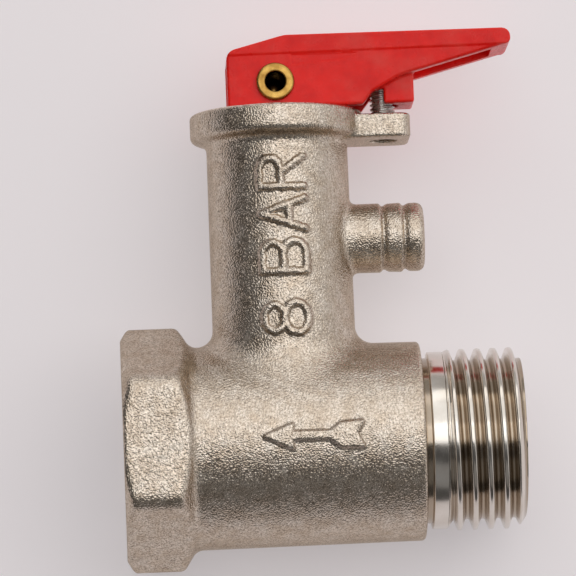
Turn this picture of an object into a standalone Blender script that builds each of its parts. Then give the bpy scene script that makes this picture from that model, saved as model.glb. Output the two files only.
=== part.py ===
"""Non-return safety relief valve for a storage water heater, with G 1/2 connections.

Metres, +Z up. The origin is the centre of the female port's face. +X runs along the pipe to the
male inlet, +Z up the relief tower, and -Y is the side with the flow arrow.
"""

import math

import bmesh
import bpy
from mathutils import Vector

MM = 0.001
GAP = 0.3 * MM  # between neighbouring pieces
PAST = 1.0 * MM  # how far a cutter runs past the face it opens

OUTER_SEGMENTS = 40
BORE_SEGMENTS = 28
SMALL_SEGMENTS = 20

# Pipe thread G 1/2, its crests modelled as rings
THREAD_MAJOR_R = 20.955 / 2 * MM
THREAD_MINOR_R = 18.631 / 2 * MM
THREAD_PITCH = 1.814 * MM
CREST_HALF = 0.22 * MM
ROOT_HALF = 0.66 * MM

# Run of the body, from the female port's face at X = 0 to the end of the male thread
HEX_ACROSS_FLATS = 25.0 * MM
HEX_CORNER_R = 1.75 * MM
HEX_LENGTH = 7.5 * MM
HEX_FACE_R = 12.7 * MM  # where the front cone meets the face
HEX_CONE_SLOPE = 1.6
RUN_R_LEFT = 11.75 * MM
RUN_R_RIGHT = 11.5 * MM
RUN_END = 34.5 * MM
COLLAR_R = 10.25 * MM
COLLAR_START = 35.4 * MM
COLLAR_END = 36.85 * MM
UNDERCUT_R = 9.8 * MM
FIRST_CREST = 37.63 * MM
MALE_CRESTS = 5
MALE_END = 46.1 * MM
MALE_END_R = 9.0 * MM

PORT_DEPTH = 11.0 * MM
PORT_CRESTS = 5
CHAMBER_R = 8.0 * MM
CHAMBER_END = 24.0 * MM
NECK_R = 6.2 * MM
CARTRIDGE_STOP = 26.6 * MM
INLET_BORE_R = 7.0 * MM

# Relief tower, on a vertical axis
TOWER_X = 19.03 * MM
TOWER_R_LOW = 8.25 * MM
TOWER_R_TOP = 8.15 * MM
TOWER_TOP = 38.7 * MM
FLANGE_R = 10.0 * MM
FLANGE_THICK = 3.0 * MM
SPRING_CHAMBER_R = 6.3 * MM
SPRING_CHAMBER_FLOOR = 11.4 * MM
SEAT_TOP = 12.2 * MM
SEAT_BORE_R = 3.2 * MM
SEAT_LIP_R = 4.1 * MM
HEEL_RECESS_R = 7.5 * MM
HEEL_RECESS_DEPTH = 1.6 * MM

# Screw lug on the flange, and hose barb on the tower
LUG_END = 34.5 * MM
LUG_HALF_WIDTH = 4.15 * MM
LUG_BOTTOM = 35.1 * MM
LUG_TOP = 37.9 * MM
BARB_Z = 23.8 * MM
BARB_END = 35.65 * MM
BARB_CREST_R = 4.0 * MM
BARB_VALLEY_R = 3.6 * MM
BARB_VALLEYS = (30.9 * MM, 33.35 * MM)
BARB_BORE_R = 2.5 * MM

# Raised flow arrow on the -Y side of the run
ARROW_TIP_X = 16.0 * MM
ARROW_LENGTH = 11.4 * MM
ARROW_HEAD = 3.5 * MM
ARROW_HALF_HEIGHT = 1.65 * MM
ARROW_SHAFT_HALF = 0.45 * MM
ARROW_PROUD = 0.45 * MM

# Test lever: a channel open underneath and at its left end
PIN_Z = 41.9 * MM
LEVER_LEFT = 13.45 * MM
LEVER_BOTTOM = TOWER_TOP + GAP
LEVER_HALF_WIDTH = 4.3 * MM
LEVER_TOP = 47.35 * MM
LEVER_TIP = 46.5 * MM
LEVER_WALL = 1.6 * MM
LEVER_ROOF = 1.4 * MM
BAND_PROUD = 0.35 * MM
BAND_BOTTOM = 45.2 * MM
BAND_LEFT = 14.2 * MM
BAND_RIGHT = 43.0 * MM
BOSS_RIGHT = 35.1 * MM
BOSS_WEB_TOP = 42.0 * MM

# Half-hollow rivet through the lever's cheeks
PIN_OUTER_R = 1.5 * MM
PIN_INNER_R = 1.15 * MM
PIN_HEAD_R = 2.05 * MM
PIN_HEAD_PROUD = 0.45 * MM
PIN_HOLE_R = PIN_OUTER_R + GAP

# Lock screw
SCREW_X = 31.5 * MM
SCREW_R = 1.45 * MM
SCREW_HEAD_R = 2.3 * MM
SCREW_HEAD_HEIGHT = 1.6 * MM
SCREW_SHANK = 8.0 * MM
SCREW_TIP_Z = LUG_TOP - 0.7 * MM  # rest: only the tip is in the lug
SCREW_HOLE_R = SCREW_R + 0.4 * MM
HEAD_HOLE_R = SCREW_HEAD_R + 0.35 * MM

# Relief valve inside the tower
STEM_R = 1.5 * MM
STEM_HOLE_R = STEM_R + GAP
EYE_R = 2.5 * MM
EYE_THICK = 3.4 * MM
SEAL_BOTTOM = SEAT_TOP + GAP
SEAL_THICK = 1.6 * MM
SEAL_R = 4.6 * MM
POPPET_R = 5.7 * MM
POPPET_CUP = SEAL_BOTTOM + SEAL_THICK + GAP  # underside of the poppet's disc, where the seal sits
POPPET_DISC = 2.0 * MM
POPPET_HUB_R = 3.1 * MM
POPPET_TOP = 20.0 * MM
SEAL_SCREW_R = 1.1 * MM
SEAL_SCREW_HEAD_R = 2.1 * MM
SPRING_WIRE_R = 0.65 * MM
SPRING_COIL_R = 4.6 * MM
SPRING_TURNS = 6
SPRING_TOP = 29.2 * MM
WASHER_THICK = 0.8 * MM
PLUG_BOTTOM = SPRING_TOP + WASHER_THICK + 2 * GAP
PLUG_TOP = 36.4 * MM
GLAND_BOTTOM = 33.2 * MM
GLAND_TOP = 34.8 * MM

# Non-return cartridge inside the male end
HOUSING_R = INLET_BORE_R - GAP
HOUSING_START = 29.0 * MM
HOUSING_END = 41.0 * MM
HOUSING_BORE_R = 5.4 * MM
CHECK_SEAT = 38.2 * MM
CHECK_SEAT_R = 3.4 * MM
GUIDE_START = 26.9 * MM
GUIDE_END = HOUSING_START - GAP
CHECK_STEM_R = 1.3 * MM
CHECK_DISC_START = 36.0 * MM
CHECK_DISC_END = 37.0 * MM
CHECK_DISC_R = 4.4 * MM
CHECK_SEAL_R = 4.2 * MM
CHECK_WIRE_R = 0.3 * MM
CHECK_COIL_R = 2.6 * MM
CHECK_TURNS = 5
CLIP_START = HOUSING_END + GAP
CLIP_THICK = 0.8 * MM
CLIP_OUTER_R = 7.45 * MM
CLIP_INNER_R = 6.1 * MM
CLIP_GROOVE_R = 7.75 * MM

NICKEL = ("nickel_plated_brass", (0.62, 0.58, 0.52), 0.38, 1.0)
BRASS = ("brass", (0.78, 0.57, 0.26), 0.30, 1.0)
STEEL = ("steel", (0.60, 0.59, 0.57), 0.28, 1.0)
SPRING_STEEL = ("spring_steel", (0.50, 0.50, 0.50), 0.35, 1.0)
RED_PLASTIC = ("red_plastic", (0.62, 0.02, 0.02), 0.32, 0.0)
WHITE_PLASTIC = ("white_plastic", (0.82, 0.82, 0.78), 0.45, 0.0)
RUBBER = ("black_rubber", (0.03, 0.03, 0.03), 0.75, 0.0)

LONG_CHAINS = ("valve_body", "release_lever")

ALONG_X = (0.0, math.pi / 2, 0.0)  # turns local +Z to +X
ALONG_Y = (-math.pi / 2, 0.0, 0.0)  # turns local +Z to +Y
UPRIGHT = (math.pi / 2, 0.0, 0.0)  # stands a flat outline up, its Y as height
ALONG_Z = (0.0, 0.0, 0.0)


def clear_scene():
    for obj in list(bpy.data.objects):
        bpy.data.objects.remove(obj, do_unlink=True)


def new_collection(name):
    collection = bpy.data.collections.new(name)
    bpy.context.scene.collection.children.link(collection)
    return collection


def finish_of(finish):
    """The Principled material of one of the finishes above, made once."""
    name, colour, roughness, metallic = finish
    if name in bpy.data.materials:
        return bpy.data.materials[name]
    material = bpy.data.materials.new(name)
    material.use_nodes = True
    shader = material.node_tree.nodes["Principled BSDF"]
    shader.inputs["Base Color"].default_value = (*colour, 1.0)
    shader.inputs["Roughness"].default_value = roughness
    shader.inputs["Metallic"].default_value = metallic
    return material


def place(name, data, finish, location=(0, 0, 0), rotation=ALONG_Z):
    """An object in the valve's collection, or among the helpers where finish is None."""
    obj = bpy.data.objects.new(name, data)
    obj.location = location
    obj.rotation_euler = rotation
    if finish is None:
        helpers.objects.link(obj)
        obj.hide_render = True
        obj.display_type = "WIRE"
    else:
        parts.objects.link(obj)
        obj.data.materials.append(finish_of(finish))
    return obj


def rounded(corners, steps=4):
    """The closed outline through (x, y, radius) corners, each one an arc of its radius."""
    points = []
    for index, (x, y, radius) in enumerate(corners):
        corner = Vector((x, y))
        if radius == 0:
            points.append(corner)
            continue
        before = (Vector(corners[index - 1][:2]) - corner).normalized()
        after = (Vector(corners[(index + 1) % len(corners)][:2]) - corner).normalized()
        half = before.angle(after) / 2
        centre = corner + (before + after).normalized() * radius / math.sin(half)
        first = corner + before * radius / math.tan(half) - centre
        last = corner + after * radius / math.tan(half) - centre
        start = math.atan2(first.y, first.x)
        sweep = math.remainder(math.atan2(last.y, last.x) - start, math.tau)
        for step in range(steps + 1):
            angle = start + sweep * step / steps
            points.append(centre + radius * Vector((math.cos(angle), math.sin(angle))))
    return points


def ring_of_points(radius, count, start=0.0, sweep=math.tau):
    angles = [start + sweep * step / count for step in range(count)]
    return [Vector((radius * math.cos(a), radius * math.sin(a))) for a in angles]


def turned(name, profile, finish, location, rotation, segments, closed=False):
    """A solid of revolution about local Z. The profile lists (height, radius) points, from the
    axis to the axis, or round a ring's section where closed is true."""
    area = 0.0
    for (z0, r0), (z1, r1) in zip(profile, profile[1:] + profile[:1]):
        area += r0 * z1 - r1 * z0
    if area > 0:  # the Screw needs the outer side to run downwards
        profile = profile[::-1]
    mesh = bpy.data.meshes.new(name)
    edges = [(i, i + 1) for i in range(len(profile) - 1)]
    if closed:
        edges.append((len(profile) - 1, 0))
    mesh.from_pydata([(radius, 0.0, height) for height, radius in profile], edges, [])
    obj = place(name, mesh, finish, location, rotation)
    screw = obj.modifiers.new("Turn", "SCREW")
    screw.steps = segments
    screw.render_steps = segments
    screw.use_merge_vertices = True
    screw.merge_threshold = 0.001 * MM
    screw.use_smooth_shade = False
    return obj


def flat(name, outlines, thick, finish, location, rotation):
    """A plate with the given outlines (the outer one and its holes), thick along local Z and
    centred on it, as a welded mesh that Booleans can use."""
    curve = bpy.data.curves.new(name, "CURVE")
    curve.dimensions = "2D"
    curve.fill_mode = "BOTH"
    curve.extrude = thick / 2
    for outline in outlines:
        spline = curve.splines.new("POLY")
        spline.points.add(len(outline) - 1)
        for point, (x, y) in zip(spline.points, outline):
            point.co = (x, y, 0.0, 1.0)
        spline.use_cyclic_u = True
    return solid_from_curve(name, curve, finish, location, rotation)


def solid_from_curve(name, curve, finish, location, rotation):
    """The curve's filled shape as a mesh with its caps welded on."""
    source = bpy.data.objects.new(name + "_curve", curve)
    bpy.context.scene.collection.objects.link(source)
    graph = bpy.context.evaluated_depsgraph_get()
    mesh = bpy.data.meshes.new_from_object(source.evaluated_get(graph))
    bpy.data.objects.remove(source, do_unlink=True)
    mesh.name = name
    mesh.materials.clear()
    work = bmesh.new()
    work.from_mesh(mesh)
    bmesh.ops.remove_doubles(work, verts=work.verts, dist=0.001 * MM)
    bmesh.ops.recalc_face_normals(work, faces=work.faces)
    work.to_mesh(mesh)
    work.free()
    return place(name, mesh, finish, location, rotation)


def coil(name, radius, wire_r, turns, low, high, finish, location, rotation):
    """A compression spring about local Z from low to high, its end turns closed up flat."""
    points_a_turn = 10
    count = round(turns * points_a_turn)
    curve = bpy.data.curves.new(name, "CURVE")
    curve.dimensions = "3D"
    curve.bevel_depth = wire_r
    curve.bevel_resolution = 2
    curve.use_fill_caps = True
    spline = curve.splines.new("POLY")
    spline.points.add(count)
    closed_turn_rise = 2.1 * wire_r
    active_rise = high - low - 2 * wire_r - 2 * closed_turn_rise
    for index, point in enumerate(spline.points):
        turn = index / points_a_turn
        rise = closed_turn_rise * min(turn, 1.0)
        rise += active_rise * min(max((turn - 1.0) / (turns - 2.0), 0.0), 1.0)
        rise += closed_turn_rise * max(turn - (turns - 1.0), 0.0)
        angle = math.tau * turn
        point.co = (radius * math.cos(angle), radius * math.sin(angle), low + wire_r + rise, 1.0)
    return solid_from_curve(name, curve, finish, location, rotation)


def boolean(obj, other, operation):
    """EXACT, except on the two pieces whose long chains of joins and cuts it leaves open."""
    modifier = obj.modifiers.new(other.name, "BOOLEAN")
    modifier.operation = operation
    modifier.object = other
    modifier.solver = "MANIFOLD" if obj.name in LONG_CHAINS else "EXACT"


def cut(obj, *cutters):
    for cutter in cutters:
        boolean(obj, cutter, "DIFFERENCE")


def join(obj, *others):
    for other in others:
        boolean(obj, other, "UNION")


def rod(name, radius, low, high, location, rotation, segments=SMALL_SEGMENTS, finish=None):
    profile = [(low, 0.0), (low, radius), (high, radius), (high, 0.0)]
    return turned(name, profile, finish, location, rotation, segments)


def bar(name, low, high):
    """A rectangular helper between two corners."""
    mesh = bpy.data.meshes.new(name)
    work = bmesh.new()
    bmesh.ops.create_cube(work, size=1.0)
    centre = (Vector(low) + Vector(high)) / 2
    bmesh.ops.scale(work, vec=Vector(high) - Vector(low), verts=work.verts)
    work.to_mesh(mesh)
    work.free()
    return place(name, mesh, None, centre)


def thread_rings(first, count, crest_r, root_r):
    """Profile points of count ring crests along an axis, the first one's middle at first."""
    points = []
    for turn in range(count):
        middle = first + turn * THREAD_PITCH
        points.append((middle - ROOT_HALF, root_r))
        points.append((middle - CREST_HALF, crest_r))
        points.append((middle + CREST_HALF, crest_r))
        points.append((middle + ROOT_HALF, root_r))
    return points


def run_outside():
    """Run, undercut, collar and male thread, turned about the pipe's axis."""
    profile = [(2.0 * MM, 0.0), (2.0 * MM, RUN_R_LEFT), (HEX_LENGTH, RUN_R_LEFT + 0.5 * MM)]
    profile += [(HEX_LENGTH + 0.8 * MM, RUN_R_LEFT), (RUN_END - 0.4 * MM, RUN_R_RIGHT)]
    profile += [(RUN_END, RUN_R_RIGHT - 0.4 * MM), (RUN_END, UNDERCUT_R)]
    profile += [(COLLAR_START, UNDERCUT_R), (COLLAR_START, COLLAR_R), (COLLAR_END, COLLAR_R)]
    profile += thread_rings(FIRST_CREST, MALE_CRESTS, THREAD_MAJOR_R, THREAD_MINOR_R)
    profile += [(MALE_END, MALE_END_R), (MALE_END, 0.0)]
    return turned("valve_body", profile, NICKEL, (0, 0, 0), ALONG_X, OUTER_SEGMENTS)


def hexagon():
    """The female end's wrench hexagon, its flats facing -Y and +Y, its ends turned to a cone."""
    corner_r = HEX_ACROSS_FLATS / 2 / math.cos(math.pi / 6)
    corners = [(p.x, p.y, HEX_CORNER_R) for p in ring_of_points(corner_r, 6)]
    centre = (HEX_LENGTH / 2, 0, 0)
    prism = flat("hexagon", [rounded(corners)], HEX_LENGTH, None, centre, ALONG_X)
    profile = [(-PAST, 0.0), (-PAST, HEX_FACE_R - HEX_CONE_SLOPE * PAST)]
    profile += [(PAST, HEX_FACE_R + HEX_CONE_SLOPE * PAST), (6.3 * MM, 14.3 * MM)]
    profile += [(8.6 * MM, 11.0 * MM), (8.6 * MM, 0.0)]
    cone = turned("hexagon_ends", profile, None, (0, 0, 0), ALONG_X, OUTER_SEGMENTS)
    boolean(prism, cone, "INTERSECT")
    return prism


def tower_outside():
    foot = TOWER_TOP - FLANGE_THICK
    profile = [(2.0 * MM, 0.0), (2.0 * MM, TOWER_R_LOW), (foot - 1.4 * MM, TOWER_R_TOP)]
    profile += [(foot - 0.8 * MM, TOWER_R_TOP + 0.25 * MM), (foot - 0.3 * MM, TOWER_R_TOP + 0.9 * MM)]
    profile += [(foot - 0.1 * MM, FLANGE_R - 0.5 * MM), (foot + 0.2 * MM, FLANGE_R - 0.15 * MM)]
    profile += [(foot + 0.6 * MM, FLANGE_R), (TOWER_TOP - 0.4 * MM, FLANGE_R)]
    profile += [(TOWER_TOP - 0.1 * MM, FLANGE_R - 0.15 * MM), (TOWER_TOP, FLANGE_R - 0.4 * MM)]
    profile += [(TOWER_TOP, 0.0)]
    return turned("tower", profile, None, (TOWER_X, 0, 0), ALONG_Z, OUTER_SEGMENTS)


def lug():
    start = TOWER_X + 5.0 * MM
    corners = [(start, -LUG_HALF_WIDTH, 0.0), (LUG_END, -LUG_HALF_WIDTH, 1.2 * MM)]
    corners += [(LUG_END, LUG_HALF_WIDTH, 1.2 * MM), (start, LUG_HALF_WIDTH, 0.0)]
    middle = (LUG_BOTTOM + LUG_TOP) / 2
    return flat("lug", [rounded(corners)], LUG_TOP - LUG_BOTTOM, None, (0, 0, middle), ALONG_Z)


def barb_outside():
    profile = [(TOWER_X + 5.0 * MM, 0.0), (TOWER_X + 5.0 * MM, BARB_CREST_R)]
    for valley in BARB_VALLEYS:
        profile += [(valley - 0.4 * MM, BARB_CREST_R), (valley, BARB_VALLEY_R)]
        profile += [(valley + 0.6 * MM, BARB_CREST_R - 0.05 * MM)]
    profile += [(34.8 * MM, BARB_CREST_R), (BARB_END, 3.2 * MM), (BARB_END, 0.0)]
    return turned("barb", profile, None, (0, 0, BARB_Z), ALONG_X, BORE_SEGMENTS)


def arrow():
    """The cast flow arrow. It points along -X, from the inlet to the heater."""
    tail = ARROW_TIP_X + ARROW_LENGTH
    neck = ARROW_TIP_X + ARROW_HEAD
    feather = tail - 3.2 * MM
    upper = [(neck, ARROW_HALF_HEIGHT), (neck - 0.6 * MM, ARROW_SHAFT_HALF)]
    upper += [(feather, ARROW_SHAFT_HALF), (feather + 0.9 * MM, ARROW_HALF_HEIGHT)]
    upper += [(tail, ARROW_HALF_HEIGHT), (tail - 0.9 * MM, ARROW_SHAFT_HALF)]
    outline = [Vector((ARROW_TIP_X, 0.0))] + [Vector(point) for point in upper]
    outline += [Vector((x, -y)) for x, y in reversed(upper)]
    thick = ARROW_PROUD + 1.0 * MM
    centre = (0, -(RUN_R_LEFT + ARROW_PROUD - thick / 2), 0)
    return flat("arrow", [outline], thick, None, centre, UPRIGHT)


def run_bore():
    """The way through: female thread, chamber, neck, cartridge bore and its ring groove."""
    profile = [(-PAST, 0.0), (-PAST, 11.0 * MM), (0.0, THREAD_MAJOR_R + 0.1 * MM)]
    port = thread_rings(1.6 * MM, PORT_CRESTS, THREAD_MAJOR_R, THREAD_MINOR_R)
    profile += port
    profile += [(PORT_DEPTH, THREAD_MINOR_R), (PORT_DEPTH, CHAMBER_R), (CHAMBER_END, CHAMBER_R)]
    profile += [(CHAMBER_END + 1.2 * MM, NECK_R), (CARTRIDGE_STOP, NECK_R)]
    groove = CLIP_START - GAP / 2
    groove_end = CLIP_START + CLIP_THICK + GAP / 2
    profile += [(CARTRIDGE_STOP, INLET_BORE_R), (groove, INLET_BORE_R), (groove, CLIP_GROOVE_R)]
    profile += [(groove_end, CLIP_GROOVE_R), (groove_end, INLET_BORE_R)]
    profile += [(MALE_END + PAST, INLET_BORE_R), (MALE_END + PAST, 0.0)]
    return turned("run_bore", profile, None, (0, 0, 0), ALONG_X, BORE_SEGMENTS)


def tower_bore():
    """Heel recess, spring chamber, raised seat lip and seat bore."""
    top = TOWER_TOP + PAST
    recess = TOWER_TOP - HEEL_RECESS_DEPTH
    profile = [(top, 0.0), (top, HEEL_RECESS_R), (recess, HEEL_RECESS_R)]
    profile += [(recess, SPRING_CHAMBER_R), (SPRING_CHAMBER_FLOOR, SPRING_CHAMBER_R)]
    profile += [(SPRING_CHAMBER_FLOOR, SEAT_LIP_R), (SEAT_TOP, SEAT_LIP_R)]
    profile += [(SEAT_TOP, SEAT_BORE_R), (5.0 * MM, SEAT_BORE_R), (5.0 * MM, 0.0)]
    return turned("tower_bore", profile, None, (TOWER_X, 0, 0), ALONG_Z, BORE_SEGMENTS)


def valve_body():
    body = run_outside()
    join(body, hexagon(), tower_outside(), lug(), barb_outside(), arrow())
    barb_bore = rod(
        "barb_bore", BARB_BORE_R, TOWER_X + 4.0 * MM, BARB_END + PAST, (0, 0, BARB_Z), ALONG_X
    )
    screw_hole = rod(
        "lug_hole", SCREW_HOLE_R, LUG_BOTTOM - PAST, LUG_TOP + PAST, (SCREW_X, 0, 0), ALONG_Z
    )
    cut(body, run_bore(), tower_bore(), barb_bore, screw_hole)


def release_lever():
    """Side outline, raised top band and screw boss joined, then the channel and holes cut."""
    corners = [(LEVER_LEFT, LEVER_BOTTOM, 0.5 * MM), (LEVER_LEFT, 45.6 * MM, 0.6 * MM)]
    corners += [(20.2 * MM, LEVER_TOP, 4.0 * MM), (LEVER_TIP, LEVER_TOP, 0.6 * MM)]
    corners += [(LEVER_TIP, 45.6 * MM, 0.4 * MM), (45.3 * MM, 45.35 * MM, 0.5 * MM)]
    corners += [(33.5 * MM, 42.2 * MM, 2.5 * MM), (30.2 * MM, 40.4 * MM, 1.5 * MM)]
    corners += [(29.1 * MM, LEVER_BOTTOM, 0.2 * MM)]
    lever = flat(
        "release_lever", [rounded(corners)], 2 * LEVER_HALF_WIDTH, RED_PLASTIC, (0, 0, 0), UPRIGHT
    )
    band_corners = [(BAND_LEFT, BAND_BOTTOM, 0.0), (BAND_LEFT, 45.75 * MM, 0.0)]
    band_corners += [(20.2 * MM, LEVER_TOP - 0.05 * MM, 4.0 * MM)]
    band_corners += [(BAND_RIGHT, LEVER_TOP - 0.05 * MM, 0.0), (BAND_RIGHT, BAND_BOTTOM, 0.0)]
    band_width = 2 * (LEVER_HALF_WIDTH + BAND_PROUD)
    band = flat("lever_band", [rounded(band_corners)], band_width, None, (0, 0, 0), UPRIGHT)

    inside = LEVER_HALF_WIDTH - LEVER_WALL
    roof = LEVER_TOP - LEVER_ROOF
    channel_corners = [(LEVER_LEFT - PAST, LEVER_BOTTOM - PAST, 0.0)]
    channel_corners += [(LEVER_LEFT - PAST, 43.9 * MM, 0.0), (20.0 * MM, roof, 3.0 * MM)]
    channel_corners += [(44.3 * MM, roof, 0.4 * MM), (44.3 * MM, 40.0 * MM, 0.0)]
    channel_corners += [(40.0 * MM, LEVER_BOTTOM - PAST, 0.0)]
    channel = flat("lever_channel", [rounded(channel_corners)], 2 * inside, None, (0, 0, 0), UPRIGHT)

    boss_left = SCREW_X + 0.1 * MM
    overlap = 0.4 * MM
    boss = bar(
        "lever_boss",
        (boss_left, -inside - overlap, LEVER_BOTTOM + 0.2 * MM),
        (BOSS_RIGHT, inside + overlap, roof + overlap),
    )
    web = bar(
        "lever_web",
        (SCREW_X - 2.4 * MM, -inside - overlap, 40.9 * MM),
        (BOSS_RIGHT - overlap, inside + overlap, BOSS_WEB_TOP),
    )
    join(lever, band)
    cut(lever, channel)
    join(lever, boss, web)
    head_hole = rod(
        "head_hole", HEAD_HOLE_R, BOSS_WEB_TOP, LEVER_TOP + PAST, (SCREW_X, 0, 0), ALONG_Z
    )
    shank_hole = rod(
        "shank_hole", SCREW_HOLE_R, LEVER_BOTTOM - PAST, LEVER_TOP, (SCREW_X, 0, 0), ALONG_Z
    )
    reach = LEVER_HALF_WIDTH + PAST
    pin_hole = rod("pin_hole", PIN_HOLE_R, -reach, reach, (TOWER_X, 0, PIN_Z), ALONG_Y)
    cut(lever, head_hole, shank_hole, pin_hole)


def lever_pin():
    """A half-hollow rivet: a flat head at the back, its open end rolled over the near cheek."""
    cheek = LEVER_HALF_WIDTH + GAP / 2
    end = cheek + PIN_HEAD_PROUD
    head = [(cheek, PIN_OUTER_R), (cheek, PIN_HEAD_R), (cheek + 0.2 * MM, PIN_HEAD_R)]
    head += [(end, PIN_HEAD_R - 0.35 * MM)]
    profile = [(end, 0.0)] + head[::-1] + [(-along, radius) for along, radius in head]
    profile += [(-end, PIN_INNER_R + 0.2 * MM), (0.5 * MM - end, PIN_INNER_R)]
    profile += [(2.2 * MM, PIN_INNER_R), (2.6 * MM, 0.0)]
    turned("lever_pin", profile, BRASS, (TOWER_X, 0, PIN_Z), ALONG_Y, SMALL_SEGMENTS)


def lock_screw():
    """Cheese-head machine screw with a straight slot, its tip just inside the lug."""
    under_head = SCREW_TIP_Z + SCREW_SHANK
    top = under_head + SCREW_HEAD_HEIGHT
    profile = [(SCREW_TIP_Z, 0.0), (SCREW_TIP_Z, SCREW_R - 0.4 * MM)]
    profile += [(SCREW_TIP_Z + 0.4 * MM, SCREW_R), (under_head, SCREW_R)]
    profile += [(under_head, SCREW_HEAD_R), (top - 0.3 * MM, SCREW_HEAD_R)]
    profile += [(top, SCREW_HEAD_R - 0.3 * MM), (top, 0.0)]
    screw = turned("lock_screw", profile, STEEL, (SCREW_X, 0, 0), ALONG_Z, SMALL_SEGMENTS)
    slot_half = 0.35 * MM
    slot = bar(
        "screw_slot",
        (SCREW_X - 3.0 * MM, -slot_half, top - 0.8 * MM),
        (SCREW_X + 3.0 * MM, slot_half, top + PAST),
    )
    cut(screw, slot)


def lift_stem():
    """Rod with a flat eye at its top for the lever pin."""
    stem = rod(
        "lift_stem",
        STEM_R,
        POPPET_CUP + POPPET_DISC + 1.3 * MM,
        PIN_Z - 1.5 * MM,
        (TOWER_X, 0, 0),
        ALONG_Z,
        finish=BRASS,
    )
    eye = rod("stem_eye", EYE_R, -EYE_THICK / 2, EYE_THICK / 2, (TOWER_X, 0, PIN_Z), ALONG_Y)
    hole = rod("stem_eye_hole", PIN_HOLE_R, -EYE_THICK, EYE_THICK, (TOWER_X, 0, PIN_Z), ALONG_Y)
    join(stem, eye)
    cut(stem, hole)


def relief_poppet():
    """Cup that holds the seal, spring shoulder, and hub bored for the stem and the seal screw."""
    disc_top = POPPET_CUP + POPPET_DISC
    stem_seat = disc_top + 1.0 * MM
    cup_r = SEAL_R + GAP
    rim = SEAL_BOTTOM + 0.4 * MM
    outside = [(rim, cup_r), (rim, POPPET_R), (disc_top, POPPET_R), (disc_top, POPPET_HUB_R)]
    outside += [(POPPET_TOP, POPPET_HUB_R), (POPPET_TOP, STEM_HOLE_R), (stem_seat, STEM_HOLE_R)]
    inside = [(stem_seat, SEAL_SCREW_R + GAP), (POPPET_CUP, SEAL_SCREW_R + GAP), (POPPET_CUP, cup_r)]
    turned(
        "relief_poppet",
        outside + inside,
        BRASS,
        (TOWER_X, 0, 0),
        ALONG_Z,
        SMALL_SEGMENTS,
        closed=True,
    )


def washer(name, inner_r, outer_r, low, high, finish, location, rotation):
    profile = [(low, inner_r), (low, outer_r), (high, outer_r), (high, inner_r)]
    turned(name, profile, finish, location, rotation, SMALL_SEGMENTS, closed=True)


def o_ring(name, inner_r, outer_r, middle, location, rotation):
    section_r = (outer_r - inner_r) / 2
    centre_r = (outer_r + inner_r) / 2
    section = ring_of_points(section_r, 8)
    profile = [(middle + p.x, centre_r + p.y) for p in section]
    turned(name, profile, RUBBER, location, rotation, SMALL_SEGMENTS, closed=True)


def relief_seals():
    axis = (TOWER_X, 0, 0)
    hole_r = SEAL_SCREW_R + GAP
    seal_top = SEAL_BOTTOM + SEAL_THICK
    washer("relief_seal", hole_r, SEAL_R, SEAL_BOTTOM, seal_top, RUBBER, axis, ALONG_Z)
    washer_top = SEAL_BOTTOM - GAP
    washer_low = washer_top - 0.6 * MM
    washer("seal_washer", hole_r, SEAT_BORE_R - 0.5 * MM, washer_low, washer_top, BRASS, axis, ALONG_Z)
    head_top = washer_low - GAP
    profile = [(head_top - 1.2 * MM, 0.0), (head_top - 1.2 * MM, SEAL_SCREW_HEAD_R - 0.4 * MM)]
    profile += [(head_top - 0.8 * MM, SEAL_SCREW_HEAD_R), (head_top, SEAL_SCREW_HEAD_R)]
    tip = POPPET_CUP + POPPET_DISC + 0.8 * MM
    profile += [(head_top, SEAL_SCREW_R), (tip, SEAL_SCREW_R), (tip, 0.0)]
    turned("seal_screw", profile, STEEL, axis, ALONG_Z, SMALL_SEGMENTS)


def relief_spring_set():
    axis = (TOWER_X, 0, 0)
    low = POPPET_CUP + POPPET_DISC + GAP
    coil(
        "relief_spring",
        SPRING_COIL_R,
        SPRING_WIRE_R,
        SPRING_TURNS,
        low,
        SPRING_TOP,
        SPRING_STEEL,
        axis,
        ALONG_Z,
    )
    outer_r = SPRING_CHAMBER_R - GAP
    low = SPRING_TOP + GAP
    washer("thrust_washer", STEM_HOLE_R, outer_r, low, low + WASHER_THICK, STEEL, axis, ALONG_Z)


def adjusting_plug():
    """Plug that sets the spring, with a spanner slot on top and a groove for the stem's ring."""
    outer_r = SPRING_CHAMBER_R - GAP
    gland_r = 3.2 * MM
    profile = [(PLUG_BOTTOM, STEM_HOLE_R), (PLUG_BOTTOM, outer_r), (PLUG_TOP - 0.4 * MM, outer_r)]
    profile += [(PLUG_TOP, outer_r - 0.4 * MM), (PLUG_TOP, STEM_HOLE_R), (GLAND_TOP, STEM_HOLE_R)]
    profile += [(GLAND_TOP, gland_r), (GLAND_BOTTOM, gland_r), (GLAND_BOTTOM, STEM_HOLE_R)]
    axis = (TOWER_X, 0, 0)
    plug = turned(
        "adjusting_plug", profile, BRASS, axis, ALONG_Z, SMALL_SEGMENTS, closed=True
    )
    slot_half = 0.8 * MM
    slot = bar(
        "plug_slot",
        (TOWER_X - outer_r - PAST, -slot_half, PLUG_TOP - 1.0 * MM),
        (TOWER_X + outer_r + PAST, slot_half, PLUG_TOP + PAST),
    )
    cut(plug, slot)
    middle = (GLAND_BOTTOM + GLAND_TOP) / 2
    o_ring("stem_o_ring", STEM_R + 0.2 * MM, gland_r - 0.2 * MM, middle, axis, ALONG_Z)


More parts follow.
